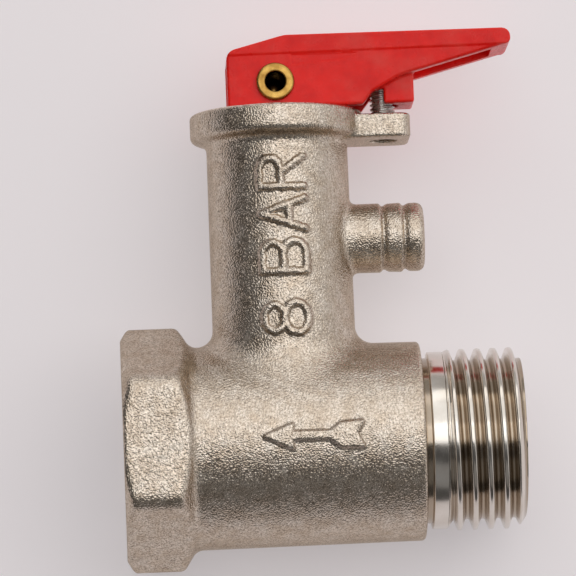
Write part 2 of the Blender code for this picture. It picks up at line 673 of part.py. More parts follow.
def check_housing():
    """Seat housing of the non-return cartridge, with an outer ring groove and a flared inlet."""
    groove_r = 5.75 * MM
    groove_start = 38.9 * MM
    groove_end = 40.4 * MM
    profile = [(HOUSING_START, HOUSING_BORE_R), (HOUSING_START, HOUSING_R)]
    profile += [(groove_start, HOUSING_R), (groove_start, groove_r), (groove_end, groove_r)]
    profile += [(groove_end, HOUSING_R), (HOUSING_END, HOUSING_R), (HOUSING_END, 5.0 * MM)]
    profile += [(CHECK_SEAT + 1.4 * MM, CHECK_SEAT_R), (CHECK_SEAT, CHECK_SEAT_R)]
    profile += [(CHECK_SEAT, HOUSING_BORE_R)]
    turned(
        "check_housing", profile, WHITE_PLASTIC, (0, 0, 0), ALONG_X, BORE_SEGMENTS, closed=True
    )
    middle = (groove_start + groove_end) / 2
    o_ring("check_o_ring", groove_r + 0.15 * MM, HOUSING_R + 0.15 * MM, middle, (0, 0, 0), ALONG_X)


def check_guide():
    """Spider with a bored hub and a ring of flow holes."""
    hub_r = 2.2 * MM
    bore_r = CHECK_STEM_R + GAP
    middle = (GUIDE_START + GUIDE_END) / 2
    holes = []
    for spoke in ring_of_points(4.3 * MM, 6):
        holes.append([spoke + p for p in ring_of_points(1.45 * MM, 12)])
    outlines = [ring_of_points(HOUSING_R, BORE_SEGMENTS), ring_of_points(bore_r, 16)] + holes
    guide = flat(
        "check_guide", outlines, GUIDE_END - GUIDE_START, WHITE_PLASTIC, (middle, 0, 0), ALONG_X
    )
    sleeve_profile = [(GUIDE_START + 0.3 * MM, bore_r + 0.02 * MM), (GUIDE_START + 0.3 * MM, hub_r)]
    sleeve_profile += [(GUIDE_END + 1.2 * MM, hub_r), (GUIDE_END + 1.2 * MM, bore_r + 0.02 * MM)]
    sleeve = turned(
        "guide_sleeve", sleeve_profile, None, (0, 0, 0), ALONG_X, SMALL_SEGMENTS, closed=True
    )
    join(guide, sleeve)


def check_poppet():
    """Disc with a guide stem behind it and a headed nub in front that holds the seal."""
    nub_r = 1.2 * MM
    nub_head_r = 1.9 * MM
    nub_head_start = CHECK_SEAT + GAP
    profile = [(GUIDE_START + 0.3 * MM, 0.0), (GUIDE_START + 0.3 * MM, CHECK_STEM_R)]
    profile += [(CHECK_DISC_START, CHECK_STEM_R), (CHECK_DISC_START, CHECK_DISC_R)]
    profile += [(CHECK_DISC_END, CHECK_DISC_R), (CHECK_DISC_END, nub_r), (nub_head_start, nub_r)]
    profile += [(nub_head_start, nub_head_r), (nub_head_start + 0.5 * MM, nub_head_r)]
    profile += [(nub_head_start + 1.0 * MM, 1.2 * MM), (nub_head_start + 1.0 * MM, 0.0)]
    turned("check_poppet", profile, WHITE_PLASTIC, (0, 0, 0), ALONG_X, SMALL_SEGMENTS)
    low = CHECK_DISC_END + GAP / 2
    high = CHECK_SEAT - GAP
    washer("check_seal", nub_r + GAP, CHECK_SEAL_R, low, high, RUBBER, (0, 0, 0), ALONG_X)
    coil(
        "check_spring",
        CHECK_COIL_R,
        CHECK_WIRE_R,
        CHECK_TURNS,
        GUIDE_END + GAP,
        CHECK_DISC_START - GAP,
        SPRING_STEEL,
        (0, 0, 0),
        ALONG_X,
    )


def check_circlip():
    """Open retaining ring, its gap at the bottom of the bore."""
    half_gap = math.radians(22)
    steps = 28
    outer = []
    inner = []
    for step in range(steps + 1):
        angle = half_gap + (math.tau - 2 * half_gap) * step / steps
        spoke = Vector((math.cos(angle), math.sin(angle)))
        outer.append(spoke * CLIP_OUTER_R)
        inner.append(spoke * CLIP_INNER_R)
    centre = (CLIP_START + CLIP_THICK / 2, 0, 0)
    flat("check_circlip", [outer + inner[::-1]], CLIP_THICK, STEEL, centre, ALONG_X)


clear_scene()
parts = new_collection("pressure_relief_valve")
helpers = new_collection("cutters")
valve_body()
release_lever()
lever_pin()
lock_screw()
lift_stem()
relief_poppet()
relief_seals()
relief_spring_set()
adjusting_plug()
check_housing()
check_guide()
check_poppet()
check_circlip()
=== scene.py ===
import functools
import math

import bmesh
import bpy
import numpy as np
import openvdb
from mathutils import Matrix, Vector


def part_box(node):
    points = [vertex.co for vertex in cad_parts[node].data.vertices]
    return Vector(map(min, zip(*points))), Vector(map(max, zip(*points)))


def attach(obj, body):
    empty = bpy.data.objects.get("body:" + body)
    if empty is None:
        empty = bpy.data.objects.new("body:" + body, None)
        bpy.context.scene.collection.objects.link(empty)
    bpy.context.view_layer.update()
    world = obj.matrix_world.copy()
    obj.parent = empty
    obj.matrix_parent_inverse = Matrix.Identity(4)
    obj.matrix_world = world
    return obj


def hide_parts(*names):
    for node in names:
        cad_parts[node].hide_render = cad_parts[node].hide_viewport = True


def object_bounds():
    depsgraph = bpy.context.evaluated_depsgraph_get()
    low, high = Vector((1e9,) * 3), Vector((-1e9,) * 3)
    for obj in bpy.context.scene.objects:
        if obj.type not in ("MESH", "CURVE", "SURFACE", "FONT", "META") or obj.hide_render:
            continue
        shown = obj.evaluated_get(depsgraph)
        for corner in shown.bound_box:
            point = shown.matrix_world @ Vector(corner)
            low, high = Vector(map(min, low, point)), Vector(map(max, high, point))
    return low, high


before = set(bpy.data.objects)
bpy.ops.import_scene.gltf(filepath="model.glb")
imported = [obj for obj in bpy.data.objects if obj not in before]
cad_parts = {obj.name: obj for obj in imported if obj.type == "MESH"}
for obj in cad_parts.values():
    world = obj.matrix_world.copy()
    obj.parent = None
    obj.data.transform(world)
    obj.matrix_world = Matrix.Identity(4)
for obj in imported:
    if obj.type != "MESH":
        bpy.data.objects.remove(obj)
cad_low, cad_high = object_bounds()


# ---------------------------------------------------------------------------------------------
# Camera. A long lens, almost square on to the side with the flow arrow. The valve leans a little
# to the left, and is seen from slightly below, as when it lies on its back on a table.
# ---------------------------------------------------------------------------------------------
MM = 0.001
CAMERA_TARGET = Vector((19.71, 0.0, 18.35)) * MM
CAMERA_DISTANCE = 649.2 * MM
CAMERA_AZIMUTH = math.radians(-1.77)
CAMERA_ELEVATION = math.radians(-6.52)
CAMERA_ROLL = math.radians(2.25)

back = Vector(
    (
        math.sin(CAMERA_AZIMUTH) * math.cos(CAMERA_ELEVATION),
        -math.cos(CAMERA_AZIMUTH) * math.cos(CAMERA_ELEVATION),
        math.sin(CAMERA_ELEVATION),
    )
)
level = Vector((math.cos(CAMERA_AZIMUTH), math.sin(CAMERA_AZIMUTH), 0.0))
upright = back.cross(level)
right = level * math.cos(CAMERA_ROLL) - upright * math.sin(CAMERA_ROLL)
up = level * math.sin(CAMERA_ROLL) + upright * math.cos(CAMERA_ROLL)
lens = bpy.data.cameras.new("camera")
lens.sensor_width = 36.0
lens.lens = 350.0
lens.clip_start = 0.01
lens.clip_end = 10.0
camera = bpy.data.objects.new("camera", lens)
bpy.context.scene.collection.objects.link(camera)
camera.matrix_world = Matrix.Translation(CAMERA_TARGET + back * CAMERA_DISTANCE) @ Matrix(
    (right, up, back)
).transposed().to_4x4()
bpy.context.scene.camera = camera


# ---------------------------------------------------------------------------------------------
# Table and light. The valve lies on its back, the hexagon's rear flat on a pale table, under
# soft studio panels. The table is one-sided, so that the valve can be seen from behind.
# ---------------------------------------------------------------------------------------------
TABLE_SIZE = 4.0
TABLE_Y = cad_high.y + 0.2 * MM

table_mesh = bpy.data.meshes.new("table")
build = bmesh.new()
bmesh.ops.create_grid(build, x_segments=1, y_segments=1, size=TABLE_SIZE / 2)
bmesh.ops.rotate(build, matrix=Matrix.Rotation(math.pi / 2, 3, "X"), verts=build.verts)
bmesh.ops.translate(build, vec=(0.0, TABLE_Y, 0.0), verts=build.verts)
build.to_mesh(table_mesh)
build.free()
table = bpy.data.objects.new("table", table_mesh)
bpy.context.scene.collection.objects.link(table)
paper = bpy.data.materials.new("pale_table")
paper.use_nodes = True
nodes = paper.node_tree.nodes
links = paper.node_tree.links
shader = nodes["Principled BSDF"]
shader.inputs["Base Color"].default_value = (0.62, 0.585, 0.60, 1.0)
shader.inputs["Roughness"].default_value = 0.7
shader.inputs["Emission Color"].default_value = (1.0, 0.945, 0.965, 1.0)
shader.inputs["Emission Strength"].default_value = 0.335
see_through = nodes.new("ShaderNodeBsdfTransparent")
one_sided = nodes.new("ShaderNodeMixShader")
facing = nodes.new("ShaderNodeNewGeometry")
links.new(facing.outputs["Backfacing"], one_sided.inputs["Fac"])
links.new(shader.outputs["BSDF"], one_sided.inputs[1])
links.new(see_through.outputs["BSDF"], one_sided.inputs[2])
links.new(one_sided.outputs["Shader"], nodes["Material Output"].inputs["Surface"])
table_mesh.materials.append(paper)


def soft_panel(name, direction, distance, width, height, power, colour):
    """A rectangular area light that faces the valve from the given direction."""
    light = bpy.data.lights.new(name, "AREA")
    light.shape = "RECTANGLE"
    light.size = width
    light.size_y = height
    light.energy = power
    light.color = colour
    panel = bpy.data.objects.new(name, light)
    towards = Vector(direction).normalized()
    panel.location = CAMERA_TARGET + towards * distance
    panel.rotation_euler = towards.to_track_quat("Z", "Y").to_euler()
    bpy.context.scene.collection.objects.link(panel)


soft_panel("upper_panel", (0.19, -1.0, 0.80), 1.02, 1.6, 0.95, 4.8, (1.0, 0.985, 0.965))
soft_panel("middle_panel", (0.22, -1.0, 0.05), 0.85, 1.25, 0.38, 2.25, (1.0, 0.99, 0.975))
soft_panel("side_panel", (1.0, -0.3, 0.1), 1.0, 0.9, 1.6, 2.5, (1.0, 0.98, 0.96))
soft_panel("top_panel", (0.1, -0.3, 1.0), 1.0, 1.6, 0.9, 1.8, (1.0, 0.985, 0.97))
soft_panel("low_panel", (0.15, -0.75, -1.0), 1.0, 1.2, 0.6, 0.35, (1.0, 0.97, 0.94))
soft_panel("left_panel", (-1.0, -0.75, 0.1), 1.0, 0.5, 1.2, 0.15, (1.0, 0.98, 0.96))
studio = bpy.data.worlds.new("studio")
bpy.context.scene.world = studio
studio.use_nodes = True
studio.node_tree.nodes["Background"].inputs["Color"].default_value = (0.97, 0.94, 0.93, 1.0)
studio.node_tree.nodes["Background"].inputs["Strength"].default_value = 0.06
bpy.context.scene.view_settings.view_transform = "Standard"


# ---------------------------------------------------------------------------------------------
# Body casting. Hot-pressed brass, shot-blasted and nickel plated: hexagon, run, relief tower
# with its flange and screw lug, and the drain barb, in one piece with foundry fillets. Its
# surface is worked out as a distance field, meshed, and refined where it bends or is lettered.
# ---------------------------------------------------------------------------------------------
stem_low, stem_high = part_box("lift_stem")
TOWER_X = (stem_low.x + stem_high.x) / 2
screw_low, screw_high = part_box("lock_screw")
SCREW_X = (screw_low.x + screw_high.x) / 2
BARB_Z = 23.8 * MM
DEEP = -6.0  # millimetres beyond the axis, where a turned outline is closed


def outline(corners, steps=5):
    """Closed outline, in metres, through corners (a, b) or (a, b, radius) in millimetres."""
    points = []
    for index, corner in enumerate(corners):
        here = Vector(corner[:2])
        if len(corner) == 2:
            points.append(here * MM)
            continue
        radius = corner[2]
        before = (Vector(corners[index - 1][:2]) - here).normalized()
        after = (Vector(corners[(index + 1) % len(corners)][:2]) - here).normalized()
        half = before.angle(after) / 2
        centre = here + (before + after).normalized() * radius / math.sin(half)
        first = here + before * radius / math.tan(half) - centre
        last = here + after * radius / math.tan(half) - centre
        start = math.atan2(first.y, first.x)
        sweep = math.remainder(math.atan2(last.y, last.x) - start, math.tau)
        for step in range(steps + 1):
            angle = start + sweep * step / steps
            spoke = Vector((math.cos(angle), math.sin(angle)))
            points.append((centre + spoke * radius) * MM)
    return points


def flat_distance(a, b, points):
    """Signed distance in a plane to a closed outline, negative inside it."""
    nearest = np.full(a.shape, 1.0, np.float32)
    inside = np.zeros(a.shape, bool)
    for start, end in zip(points, points[1:] + points[:1]):
        run = end - start
        share = ((a - start.x) * run.x + (b - start.y) * run.y) / run.length_squared
        share = np.clip(share, 0.0, 1.0)
        off_a = a - start.x - share * run.x
        off_b = b - start.y - share * run.y
        nearest = np.minimum(nearest, off_a * off_a + off_b * off_b)
        if run.y != 0.0:
            spans = (start.y > b) != (end.y > b)
            inside ^= spans & (a < start.x + run.x * (b - start.y) / run.y)
    return np.where(inside, -np.sqrt(nearest), np.sqrt(nearest))


def blended(a, b, radius):
    """Union of two distances with a fillet of the given radius."""
    overlap = np.hypot(np.maximum(radius - a, 0.0), np.maximum(radius - b, 0.0))
    return np.maximum(radius, np.minimum(a, b)) - overlap


def trimmed(a, b, radius):
    """Intersection of two distances with its edge rounded to the given radius."""
    overlap = np.hypot(np.maximum(radius + a, 0.0), np.maximum(radius + b, 0.0))
    return np.minimum(-radius, np.maximum(a, b)) + overlap


def block_distance(x, y, z, low, high, radius):
    """Signed distance to a rectangular block, in metres, its edges rounded."""
    parts = []
    for value, start, end in zip((x, y, z), low, high):
        parts.append(np.abs(value - (start + end) / 2) - (end - start) / 2 + radius)
    outside = np.sqrt(sum(np.maximum(part, 0.0) ** 2 for part in parts))
    return outside + np.minimum(np.maximum.reduce(parts), 0.0) - radius


HEX_ACROSS = 25.0
HEX_CORNER = HEX_ACROSS / 2 / math.cos(math.pi / 6)
hex_corners = []
for corner in range(6):
    turn = math.tau * corner / 6
    hex_corners.append((HEX_CORNER * math.sin(turn), HEX_CORNER * math.cos(turn), 1.75))
hex_outline = outline(hex_corners)
hex_ends = outline(
    [(0.0, DEEP), (0.0, 12.7, 0.2), (0.95, 14.3, 0.4), (6.4, 14.3, 0.7), (8.4, 11.2), (8.4, DEEP)]
)
run_side = outline([(1.0, DEEP), (1.0, 11.4), (8.0, 11.72), (34.5, 11.5, 0.45), (34.5, DEEP)])
tower_side = outline(
    [(2.0, DEEP), (2.0, 8.28), (35.15, 8.17, 1.0), (35.75, 10.0, 0.7), (38.7, 10.0, 0.45)]
    + [(38.7, DEEP)]
)
barb_corners = [(20.0, DEEP), (20.0, 3.95)]
for valley in (30.9, 33.35):
    barb_corners += [(valley - 0.35, 4.02, 0.3), (valley, 3.6, 0.2), (valley + 0.55, 3.95, 0.5)]
barb_corners += [(35.65, 4.0, 0.85), (35.65, DEEP)]
barb_side = outline(barb_corners)
way_through = outline(
    [(-2.0, DEEP), (-2.0, 13.0), (0.55, 10.45), (10.8, 10.45, 0.3), (10.8, 8.0, 0.3)]
    + [(24.0, 8.0, 0.5), (25.2, 6.2, 0.3), (26.6, 6.2), (26.6, 7.0), (37.0, 7.0), (37.0, DEEP)]
)
tower_bore = outline(
    [(40.0, DEEP), (40.0, 8.9), (38.4, 7.5), (37.1, 7.5), (37.1, 6.3), (11.4, 6.3, 0.3)]
    + [(11.4, 4.1), (12.2, 4.1), (12.2, 3.2), (5.0, 3.2), (5.0, DEEP)]
)
barb_bore = outline([(23.0, DEEP), (23.0, 2.5), (35.4, 2.5), (37.0, 4.1), (37.0, DEEP)])
LUG_BOTTOM = 35.1 * MM
LUG_TOP = 37.9 * MM
lug_outline = outline([(22.0, -4.15), (22.0, 4.15), (34.5, 4.15, 1.35), (34.5, -4.15, 1.35)])
LUG_HOLE_R = 1.6 * MM


PRESSURE_TEXT = "8 BAR"
LETTER_WIDE = 3.5
LETTER_HIGH = 5.1
LETTER_STEP = 4.9
SPACE_STEP = 2.2
TEXT_FOOT = Vector((12.3, 21.75))  # Z and X of the first letter's foot
RELIEF_HEIGHT = 0.4 * MM
STROKE_CORE = 0.13 * MM
STROKE_FLARE = 0.5 * MM


def arc(centre, radii, start, end, steps=12):
    """Points on an ellipse between two angles in degrees."""
    turns = [math.radians(start + (end - start) * step / steps) for step in range(steps + 1)]
    return [
        (centre[0] + radii[0] * math.cos(turn), centre[1] + radii[1] * math.sin(turn))
        for turn in turns
    ]


def letter_strokes(letter):
    """Centre lines of one cast letter, in a cell one wide and one high."""
    low_bowl = [(0.0, 0.0)] + arc((0.6, 0.26), (0.4, 0.26), -90, 90) + [(0.0, 0.52)]
    high_bowl = [(0.0, 0.52)] + arc((0.55, 0.76), (0.4, 0.24), -90, 90) + [(0.0, 1.0)]
    shapes = {
        "8": [arc((0.5, 0.27), (0.5, 0.27), 0, 360, 20), arc((0.5, 0.77), (0.43, 0.23), 0, 360, 20)],
        "B": [[(0.0, 0.0), (0.0, 1.0)], low_bowl, high_bowl],
        "A": [[(0.0, 0.0), (0.5, 1.0), (1.0, 0.0)], [(0.2, 0.36), (0.8, 0.36)]],
        "R": [[(0.0, 0.0), (0.0, 1.0)], high_bowl, [(0.45, 0.52), (1.0, 0.0)]],
        " ": [],
    }
    return shapes[letter]


text_lines = []
foot = TEXT_FOOT.x
for letter in PRESSURE_TEXT:
    for stroke in letter_strokes(letter):
        points = []
        for across, high in stroke:
            points.append((foot + across * LETTER_WIDE, TEXT_FOOT.y - high * LETTER_HIGH))
        text_lines.append(points)
    foot += SPACE_STEP if letter == " " else LETTER_STEP

ARROW_TIP = 16.2
ARROW_Z = 0.15
arrow_shape = [(0.0, 0.0), (3.0, 1.2), (2.8, 0.3), (7.4, 0.28), (8.6, 1.15), (11.0, 1.35)]
arrow_shape += [(10.2, 0.1), (11.0, -1.4), (8.5, -1.3), (7.3, -0.32), (2.8, -0.34), (3.0, -1.35)]
arrow_shape = [((ARROW_TIP + x) * MM, (ARROW_Z + z) * MM) for x, z in arrow_shape]
arrow_outline = [Vector(point) for point in arrow_shape]


def line_distance(a, b, lines):
    """Distance in a plane to the nearest of some strokes, in metres."""
    nearest = np.full(a.shape, 1.0)
    for line in lines:
        for start, end in zip(line[:-1], line[1:]):
            start, end = Vector(start) * MM, Vector(end) * MM
            run = end - start
            share = ((a - start.x) * run.x + (b - start.y) * run.y) / run.length_squared
            share = np.clip(share, 0.0, 1.0)
            off = np.hypot(a - start.x - share * run.x, b - start.y - share * run.y)
            nearest = np.minimum(nearest, off)
    return nearest - STROKE_CORE


def cast_relief(x, y, z):
    """Height of the raised letters and arrow on the near side, in metres."""
    height = np.zeros(x.shape)
    near = y < -3.0 * MM
    on_tower = near & (np.abs(x - TOWER_X) < 5.0 * MM) & (z > 11.0 * MM) & (z < 33.0 * MM)
    on_run = near & (x > 15.0 * MM) & (x < 28.5 * MM) & (np.abs(z) < 2.6 * MM)
    for patch, shape in ((on_tower, text_lines), (on_run, arrow_outline)):
        if not patch.any():
            continue
        if shape is text_lines:
            gap = line_distance(z[patch], x[patch], shape)
            gap = gap + 0.06 * MM * np.sin(z[patch] / MM * 5.3) * np.sin(x[patch] / MM * 4.1 + 0.7)
        else:
            gap = flat_distance(x[patch], z[patch], shape)
        rise = np.clip(1.0 - gap / STROKE_FLARE, 0.0, 1.0)
        height[patch] = RELIEF_HEIGHT * rise * rise * (3.0 - 2.0 * rise)
    return height


def casting_distance(x, y, z):
    pipe_r = np.hypot(y, z)
    tower_r = np.hypot(x - TOWER_X, y)
    barb_r = np.hypot(y, z - BARB_Z)
    relief = cast_relief(x, y, z)
    run = flat_distance(x, pipe_r, run_side) - relief
    hexagon = trimmed(
        flat_distance(y, z, hex_outline), flat_distance(x, pipe_r, hex_ends), 0.45 * MM
    )
    tower = flat_distance(z, tower_r, tower_side) - relief
    barb = flat_distance(x, barb_r, barb_side)
    lug_side = np.abs(z - (LUG_BOTTOM + LUG_TOP) / 2) - (LUG_TOP - LUG_BOTTOM) / 2
    lug = trimmed(flat_distance(x, y, lug_outline), lug_side, 0.35 * MM)
    solid = blended(run, tower, 2.0 * MM)
    solid = blended(solid, hexagon, 0.6 * MM)
    solid = blended(solid, blended(lug, tower, 0.5 * MM), 0.05 * MM)
    solid = blended(solid, barb, 0.7 * MM)
    hollow = np.minimum(flat_distance(x, pipe_r, way_through), flat_distance(z, tower_r, tower_bore))
    hollow = np.minimum(hollow, flat_distance(x, barb_r, barb_bore))
    screw_hole = np.hypot(x - SCREW_X, y) - LUG_HOLE_R
    hollow = np.minimum(hollow, np.maximum(screw_hole, LUG_BOTTOM - 1.0 * MM - z))
    return trimmed(solid, -hollow, 0.12 * MM)


def slopes_of(distance, points):
    """Gradient of the distance field at the points, by small central steps."""
    nudge = 0.01 * MM
    slopes = []
    for axis in range(3):
        step = np.zeros(3)
        step[axis] = nudge
        slopes.append(distance(*(points + step).T) - distance(*(points - step).T))
    return np.stack(slopes, axis=1) / (2 * nudge)


def on_surface(distance, points, rounds):
    """The points moved along the gradient until they lie on the surface."""
    for _ in range(rounds):
        slopes = slopes_of(distance, points)
        steepness = np.maximum((slopes**2).sum(axis=1), 0.3)
        points = points - slopes * (distance(*points.T) / steepness)[:, None]
    return points


def verts_array(build):
    return np.array([vert.co for vert in build.verts], np.float64).reshape(-1, 3)


def put_verts(build, points):
    for vert, point in zip(build.verts, points):
        vert.co = point


def skin(distance, low, high, cell, fine_edges):
    """A closed mesh of the surface where the distance is zero. fine_edges(build, level) gives
    the edges to halve at each level, until it gives none."""
    counts = [int(round((end - start) / cell)) + 1 for start, end in zip(low, high)]
    axes = [low[i] + cell * np.arange(counts[i], dtype=np.float32) for i in range(3)]
    field = distance(*np.meshgrid(*axes, indexing="ij"))
    grid = openvdb.FloatGrid(cell)
    grid.copyFromArray(np.ascontiguousarray(field, np.float32))
    points, quads = grid.convertToQuads(0.0)
    points = points.astype(np.float64) * cell + np.array(low)
    points = on_surface(distance, points, 2)
    mesh = bpy.data.meshes.new("skin")
    mesh.from_pydata(points.tolist(), [], quads.tolist())
    build = bmesh.new()
    build.from_mesh(mesh)
    bpy.data.meshes.remove(mesh)
    bmesh.ops.recalc_face_normals(build, faces=build.faces)
    for level in range(3):
        edges = fine_edges(build, level)
        if not edges:
            break
        bmesh.ops.subdivide_edges(build, edges=list(edges), cuts=1, use_grid_fill=True)
        put_verts(build, on_surface(distance, verts_array(build), 1))
        build.normal_update()
    return build


def bent_edges(build, least_angle, longest):
    """Every edge of the faces that meet at more than the angle, and aren't yet small."""
    chosen = set()
    for edge in build.edges:
        if edge.calc_length() > longest and edge.calc_face_angle(0.0) > least_angle:
            for face in edge.link_faces:
                chosen.update(face.edges)
    return chosen


def sharpness(build, reach):
    """How far each point stands out from its neighbours: 1 on a sharp outer edge, 0 on a flat."""
    values = []
    for vert in build.verts:
        middle = sum((edge.other_vert(vert).co for edge in vert.link_edges), Vector())
        middle /= len(vert.link_edges)
        length = sum(edge.calc_length() for edge in vert.link_edges) / len(vert.link_edges)
        bulge = (vert.co - middle).dot(vert.normal) / max(length, 1e-9) ** 2
        values.append(min(max(bulge * reach, 0.0), 1.0))
    return values


def finished(build, name, material, values=None):
    """The mesh as a smooth-shaded object, with values for each point as named attributes."""
    mesh = bpy.data.meshes.new(name)
    build.to_mesh(mesh)
    build.free()
    mesh.shade_smooth()
    for label, numbers in (values or {}).items():
        layer = mesh.attributes.new(label, "FLOAT", "POINT")
        layer.data.foreach_set("value", np.array(numbers, np.float32))
    piece = bpy.data.objects.new(name, mesh)
    mesh.materials.append(material)
    bpy.context.scene.collection.objects.link(piece)
    return piece


CASTING_ANGLES = (13, 22)  # degrees of bend that are worth finer faces, at each level


def casting_fine_edges(build, level):
    if level == len(CASTING_ANGLES):
        return set()
    chosen = bent_edges(build, math.radians(CASTING_ANGLES[level]), 0.16 * MM)
    for face in build.faces:
        x, y, z = face.calc_center_median() / MM
        on_text = y < -3.0 and 15.8 < x < 22.6 and 11.4 < z < 32.4
        on_arrow = y < -10.5 and 15.4 < x < 28.0 and -2.0 < z < 2.2
        if on_text or on_arrow:
            chosen.update(face.edges)
    outside = set()
    for edge in chosen:
        x, y, z = (edge.verts[0].co + edge.verts[1].co) / 2 / MM
        in_port = x > 0.6 and math.hypot(y, z) < 10.7 and abs(z) < 10.7
        in_tower = math.hypot(x - TOWER_X / MM, y) < 7.7 and z < 38.3
        if not (in_port and z < 9.0) and not in_tower:
            outside.add(edge)
    return outside


def node(tree, kind, inputs=None, **settings):
    """A node with its settings made, and its inputs set to values or linked to sockets."""
    made = tree.nodes.new(kind)
    for key, value in settings.items():
        setattr(made, key, value)
    for key, value in (inputs or {}).items():
        if isinstance(value, bpy.types.NodeSocket):
            tree.links.new(value, made.inputs[key])
        else:
            made.inputs[key].default_value = value
    return made


def maths(tree, operation, *values):
    return node(tree, "ShaderNodeMath", dict(enumerate(values)), operation=operation).outputs[0]


def new_group(name, inputs, outputs):
    """An empty shader node group, with its input node's and output node's sockets made."""
    tree = bpy.data.node_groups.new(name, "ShaderNodeTree")
    for label, kind, value in inputs:
        socket = tree.interface.new_socket(label, in_out="INPUT", socket_type=kind)
        socket.default_value = value
    for label, kind in outputs:
        tree.interface.new_socket(label, in_out="OUTPUT", socket_type=kind)
    return tree, tree.nodes.new("NodeGroupInput").outputs, tree.nodes.new("NodeGroupOutput").inputs


def new_material(name):
    """A material with its Principled shader, and the object's own coordinates."""
    material = bpy.data.materials.new(name)
    material.use_nodes = True
    tree = material.node_tree
    place = tree.nodes.new("ShaderNodeTexCoord").outputs["Object"]
    return material, tree, tree.nodes["Principled BSDF"], place


def use_group(tree, group, inputs):
    return node(tree, "ShaderNodeGroup", inputs, node_tree=group).outputs


# Grain that shot leaves on metal: pits of two sizes, with patches and sparkle for its colour.
blast_grain, grain_in, grain_out = new_group(
    "blast_grain",
    [
        ("Place", "NodeSocketVector", (0.0, 0.0, 0.0)),
        ("Grain Size", "NodeSocketFloat", 0.0003),
        ("Fine Share", "NodeSocketFloat", 0.4),
    ],
    [("Height", "NodeSocketFloat"), ("Patches", "NodeSocketFloat"), ("Sparkle", "NodeSocketFloat")],
)
per_metre = maths(blast_grain, "DIVIDE", 1.0, grain_in["Grain Size"])
pits = node(
    blast_grain,
    "ShaderNodeTexNoise",
    {"Vector": grain_in["Place"], "Scale": per_metre, "Detail": 0.4, "Roughness": 0.5},
)
fine_per_metre = maths(blast_grain, "MULTIPLY", per_metre, 1.3)
fine_pits = node(
    blast_grain,
    "ShaderNodeTexVoronoi",
    {"Vector": grain_in["Place"], "Scale": fine_per_metre},
    feature="SMOOTH_F1",
)
fine_depth = maths(blast_grain, "MULTIPLY", fine_pits.outputs["Distance"], grain_in["Fine Share"])
height = maths(blast_grain, "ADD", pits.outputs["Fac"], fine_depth)
blast_grain.links.new(height, grain_out["Height"])
patches = node(
    blast_grain,
    "ShaderNodeTexNoise",
    {"Vector": grain_in["Place"], "Scale": maths(blast_grain, "MULTIPLY", per_metre, 0.12), "Detail": 3.0},
)
blast_grain.links.new(patches.outputs["Fac"], grain_out["Patches"])
facets = node(
    blast_grain,
    "ShaderNodeTexNoise",
    {"Vector": grain_in["Place"], "Scale": maths(blast_grain, "MULTIPLY", per_metre, 0.8), "Detail": 2.0},
)
blast_grain.links.new(facets.outputs["Fac"], grain_out["Sparkle"])

# Fine rings that a turning tool leaves round the X axis, and the distance from that axis.
turning_lines, turned_in, turned_out = new_group(
    "turning_lines",
    [
        ("Place", "NodeSocketVector", (0.0, 0.0, 0.0)),
        ("Line Pitch", "NodeSocketFloat", 0.0001),
    ],
    [("Height", "NodeSocketFloat"), ("Smudge", "NodeSocketFloat"), ("Radius", "NodeSocketFloat")],
)
ring_radius = node(turning_lines, "ShaderNodeSeparateXYZ", {0: turned_in["Place"]}).outputs
across = maths(
    turning_lines,
    "POWER",
    maths(
        turning_lines,
        "ADD",
        maths(turning_lines, "MULTIPLY", ring_radius["Y"], ring_radius["Y"]),
        maths(turning_lines, "MULTIPLY", ring_radius["Z"], ring_radius["Z"]),
    ),
    0.5,
)
turning_lines.links.new(across, turned_out["Radius"])
ring_place = node(turning_lines, "ShaderNodeCombineXYZ", {"X": ring_radius["X"], "Y": across})
ring_scale = maths(turning_lines, "DIVIDE", 1.0, turned_in["Line Pitch"])
rings = node(
    turning_lines,
    "ShaderNodeTexNoise",
    {"Vector": ring_place.outputs[0], "Scale": ring_scale, "Detail": 2.0},
)
turning_lines.links.new(rings.outputs["Fac"], turned_out["Height"])
smudges = node(
    turning_lines,
    "ShaderNodeTexNoise",
    {"Vector": turned_in["Place"], "Scale": 260.0, "Detail": 4.0},
)
turning_lines.links.new(smudges.outputs["Fac"], turned_out["Smudge"])


def spread(tree, value, low, high, start=0.3, end=0.7):
    """The value, which runs from start to end, carried to low..high."""
    inputs = {"Value": value, 1: start, 2: end, 3: low, 4: high}
    return node(tree, "ShaderNodeMapRange", inputs).outputs["Result"]


def mixed_colour(tree, share, first, second):
    mix = node(tree, "ShaderNodeMix", {"Factor": share}, data_type="RGBA")
    for socket, colour in ((mix.inputs[6], first), (mix.inputs[7], second)):
        if isinstance(colour, bpy.types.NodeSocket):
            tree.links.new(colour, socket)
        else:
            socket.default_value = (*colour, 1.0)
    return mix.outputs[2]


def noise(tree, place, scale, detail, **more):
    inputs = {"Vector": place, "Scale": scale, "Detail": detail, **more}
    return node(tree, "ShaderNodeTexNoise", inputs).outputs["Fac"]


def embossed(tree, shader, height, distance, strength):
    """Lets the height, at most the distance in metres, tilt the shader's normal."""
    inputs = {"Height": height, "Distance": distance, "Strength": strength}
    tree.links.new(node(tree, "ShaderNodeBump", inputs).outputs["Normal"], shader.inputs["Normal"])


